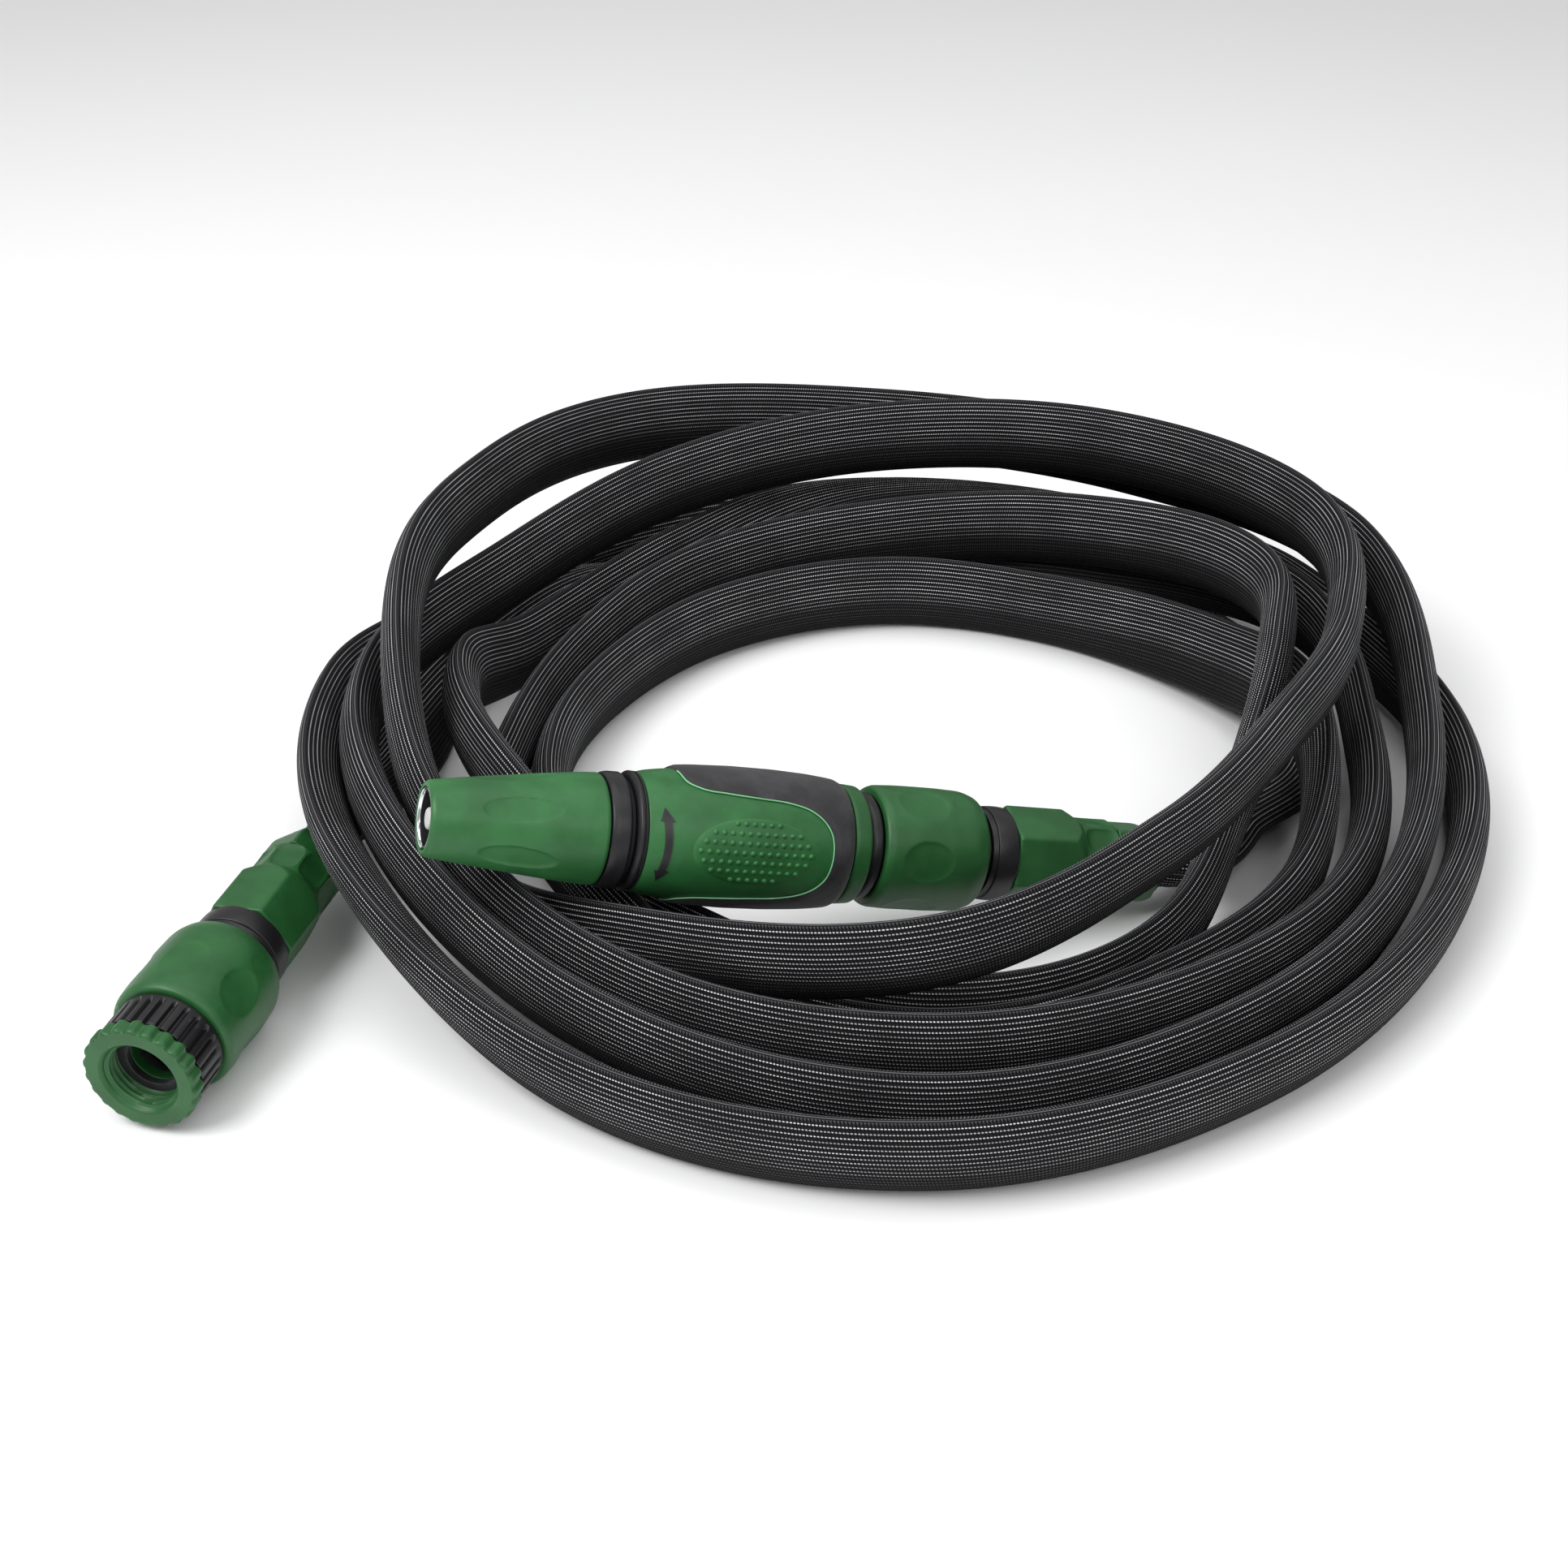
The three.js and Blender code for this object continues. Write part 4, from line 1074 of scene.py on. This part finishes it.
def thumb_pad():
    """An oval pad, barely proud of the panel, with staggered rows of dots."""
    verts = []
    rings, sides = 14, 120
    for i in range(rings + 1):
        share = i / rings
        for k in range(sides):
            turn = 2 * math.pi * k / sides
            arc = PAD_WIDTH / 2 * share * math.cos(turn)
            station = PAD_MIDDLE + PAD_LENGTH / 2 * share * math.sin(turn)
            verts.append(on_grip(arc, station, 0.42 * (1 - smooth_step(share, 0.9, 1.0)) - 0.1))
    faces = ring_faces(rings + 1, sides)
    base = len(verts)
    verts.extend(on_grip(PAD_WIDTH / 2 * math.cos(2 * math.pi * k / sides),
                         PAD_MIDDLE + PAD_LENGTH / 2 * math.sin(2 * math.pi * k / sides), -0.5)
                 for k in range(sides))
    faces.extend((rings * sides + k, rings * sides + (k + 1) % sides, base + (k + 1) % sides, base + k)
                 for k in range(sides))
    faces.append(cap(sides, base))
    add_dots(verts, faces)
    piece = add_object("thumb_pad_moulding", verts, faces, GREEN, 40)
    stands_for(piece, "nozzle_thumb_pad", "nozzle_grip")


def add_dots(verts, faces):
    pitch, row_pitch, size = 2.45, 2.6, 0.74
    for row, count in enumerate(DOTS):
        arc = (row - len(DOTS) // 2) * row_pitch
        for i in range(count):
            add_dome(verts, faces, arc, PAD_MIDDLE + pitch * (i - (count - 1) / 2), size)


def add_dome(verts, faces, arc, station, size):
    rings, sides = 4, 14
    base = len(verts)
    for i in range(rings):
        turn = math.pi / 2 * i / rings
        for k in range(sides):
            spin = 2 * math.pi * k / sides
            verts.append(on_grip(arc + size * math.cos(turn) * math.cos(spin),
                                 station + size * math.cos(turn) * math.sin(spin),
                                 0.3 + size * 0.8 * math.sin(turn)))
    verts.append(on_grip(arc, station, 0.3 + size * 0.8))
    top = len(verts) - 1
    faces.extend(ring_faces(rings, sides, first=base))
    faces.extend((base + (rings - 1) * sides + k, base + (rings - 1) * sides + (k + 1) % sides, top)
                 for k in range(sides))
    faces.append(cap(sides, base)[::-1])


def turn_arrow():
    """The double-headed arrow that shows which way the barrel turns."""
    tip, neck, shaft, head = 10.5, 6.9, 1.0, 1.95
    rows = [(-tip, 0.02), (-neck, head), (-neck + 0.02, shaft),
            (neck - 0.02, shaft), (neck, head), (tip, 0.02)]
    arcs = sorted(set(np.round(np.linspace(-tip, tip, 85), 3)) | {row[0] for row in rows})
    verts = []
    columns = (-1.0, -0.5, 0.0, 0.5, 1.0)
    for arc in arcs:
        half = float(np.interp(arc, [row[0] for row in rows], [row[1] for row in rows]))
        station = ARROW_MIDDLE - 0.012 * arc * arc
        for lift in (0.32, -0.3):
            order = columns if lift > 0 else columns[::-1]
            verts.extend(on_grip(arc, station + half * c, lift) for c in order)
    ring = 2 * len(columns)
    faces = ring_faces(len(arcs), ring)
    faces += [cap(ring), cap(ring, (len(arcs) - 1) * ring)[::-1]]
    piece = add_object("turn_arrow_mark", verts, faces, BLACK, 30)
    stands_for(piece, "nozzle_turn_arrow", "nozzle_grip")


nozzle_barrel()
nozzle_front()
nozzle_neck()
nozzle_rings()
grip_body()
soft_overmould()
window_bead()
thumb_pad()
turn_arrow()

# ------------------------------------------------------------------ sleeve springs

SPRING_RADIUS = 13.2
SPRING_WIRE = 0.55
SPRING_TURNS = 5


def sleeve_spring(end, place):
    """The coil behind a sleeve's ridge."""
    node = end + "_sleeve_spring"
    stations = [(v.co / MM - place.origin).dot(place.axis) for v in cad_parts[node].data.vertices]
    first, last = min(stations), max(stations)
    sides, steps = 10, SPRING_TURNS * 36
    verts = []
    for i in range(steps + 1):
        turn = 2 * math.pi * SPRING_TURNS * i / steps
        station = first + SPRING_WIRE + (last - first - 2 * SPRING_WIRE) * i / steps
        for k in range(sides):
            bend = 2 * math.pi * k / sides
            verts.append(place.point(
                SPRING_RADIUS + SPRING_WIRE * math.cos(bend), turn, station + SPRING_WIRE * math.sin(bend)))
    faces = [cap(sides), cap(sides, steps * sides), *ring_faces(steps + 1, sides)]
    piece = add_object(end + "_coil_spring", verts, faces, STEEL)
    stands_for(piece, node, "hose_set")
    tuple(place.point(0.0, 0.0, last))
    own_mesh(piece)


sleeve_spring("tap", TAP)
sleeve_spring("nozzle", NOZZLE)

# ------------------------------------------------------------------ kept CAD pieces

KEPT = {"lock_jaw": BLACK, "liner_tube": LATEX, "clamp_collet": BLACK, "washer": SEAL, "seal": SEAL}
for node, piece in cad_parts.items():
    for part_name, material in KEPT.items():
        if part_name in node and not piece.hide_render:
            for place in piece.material_slots:
                place.material = material

# ------------------------------------------------------------------ floor and light


def make_stage():
    mesh = bpy.data.meshes.new("floor")
    size = 6.0
    corners = [(-size, -size, 0), (size, -size, 0), (size, size, 0), (-size, size, 0)]
    mesh.from_pydata(corners, [], [(0, 1, 2, 3)])
    g = Graph("pale_floor")
    tone = g.noise(3.0, 2.0)
    g.finish(g.mix(tone, (0.93, 0.93, 0.935, 1.0), (0.95, 0.95, 0.95, 1.0)), g.span(tone, 0.6, 0.7))
    mesh.materials.append(g.material)
    floor = bpy.data.objects.new("floor", mesh)
    bpy.context.scene.collection.objects.link(floor)
    floor.location.z = -0.0002


def area_light(name, place, aim, size, power):
    data = bpy.data.lights.new(name, "AREA")
    data.shape = "RECTANGLE"
    data.size, data.size_y = size
    data.energy = power
    light = bpy.data.objects.new(name, data)
    bpy.context.scene.collection.objects.link(light)
    light.location = place
    light.rotation_euler = (Vector(aim) - Vector(place)).to_track_quat("-Z", "Y").to_euler()


def make_lights():
    world = bpy.data.worlds.new("studio")
    bpy.context.scene.world = world
    world.use_nodes = True
    world.node_tree.nodes["Background"].inputs["Color"].default_value = (1, 1, 1, 1)
    world.node_tree.nodes["Background"].inputs["Strength"].default_value = 0.5
    middle = (0.04, 0.1, 0.03)
    area_light("key", (-0.6, -0.62, 1.15), middle, (0.9, 0.6), 15)
    area_light("fill", (0.8, -0.7, 0.95), middle, (0.9, 0.6), 4)
    area_light("top", (0.1, 0.3, 1.3), middle, (1.4, 1.0), 6)
    bpy.context.scene.view_settings.view_transform = "Standard"


make_stage()
make_lights()
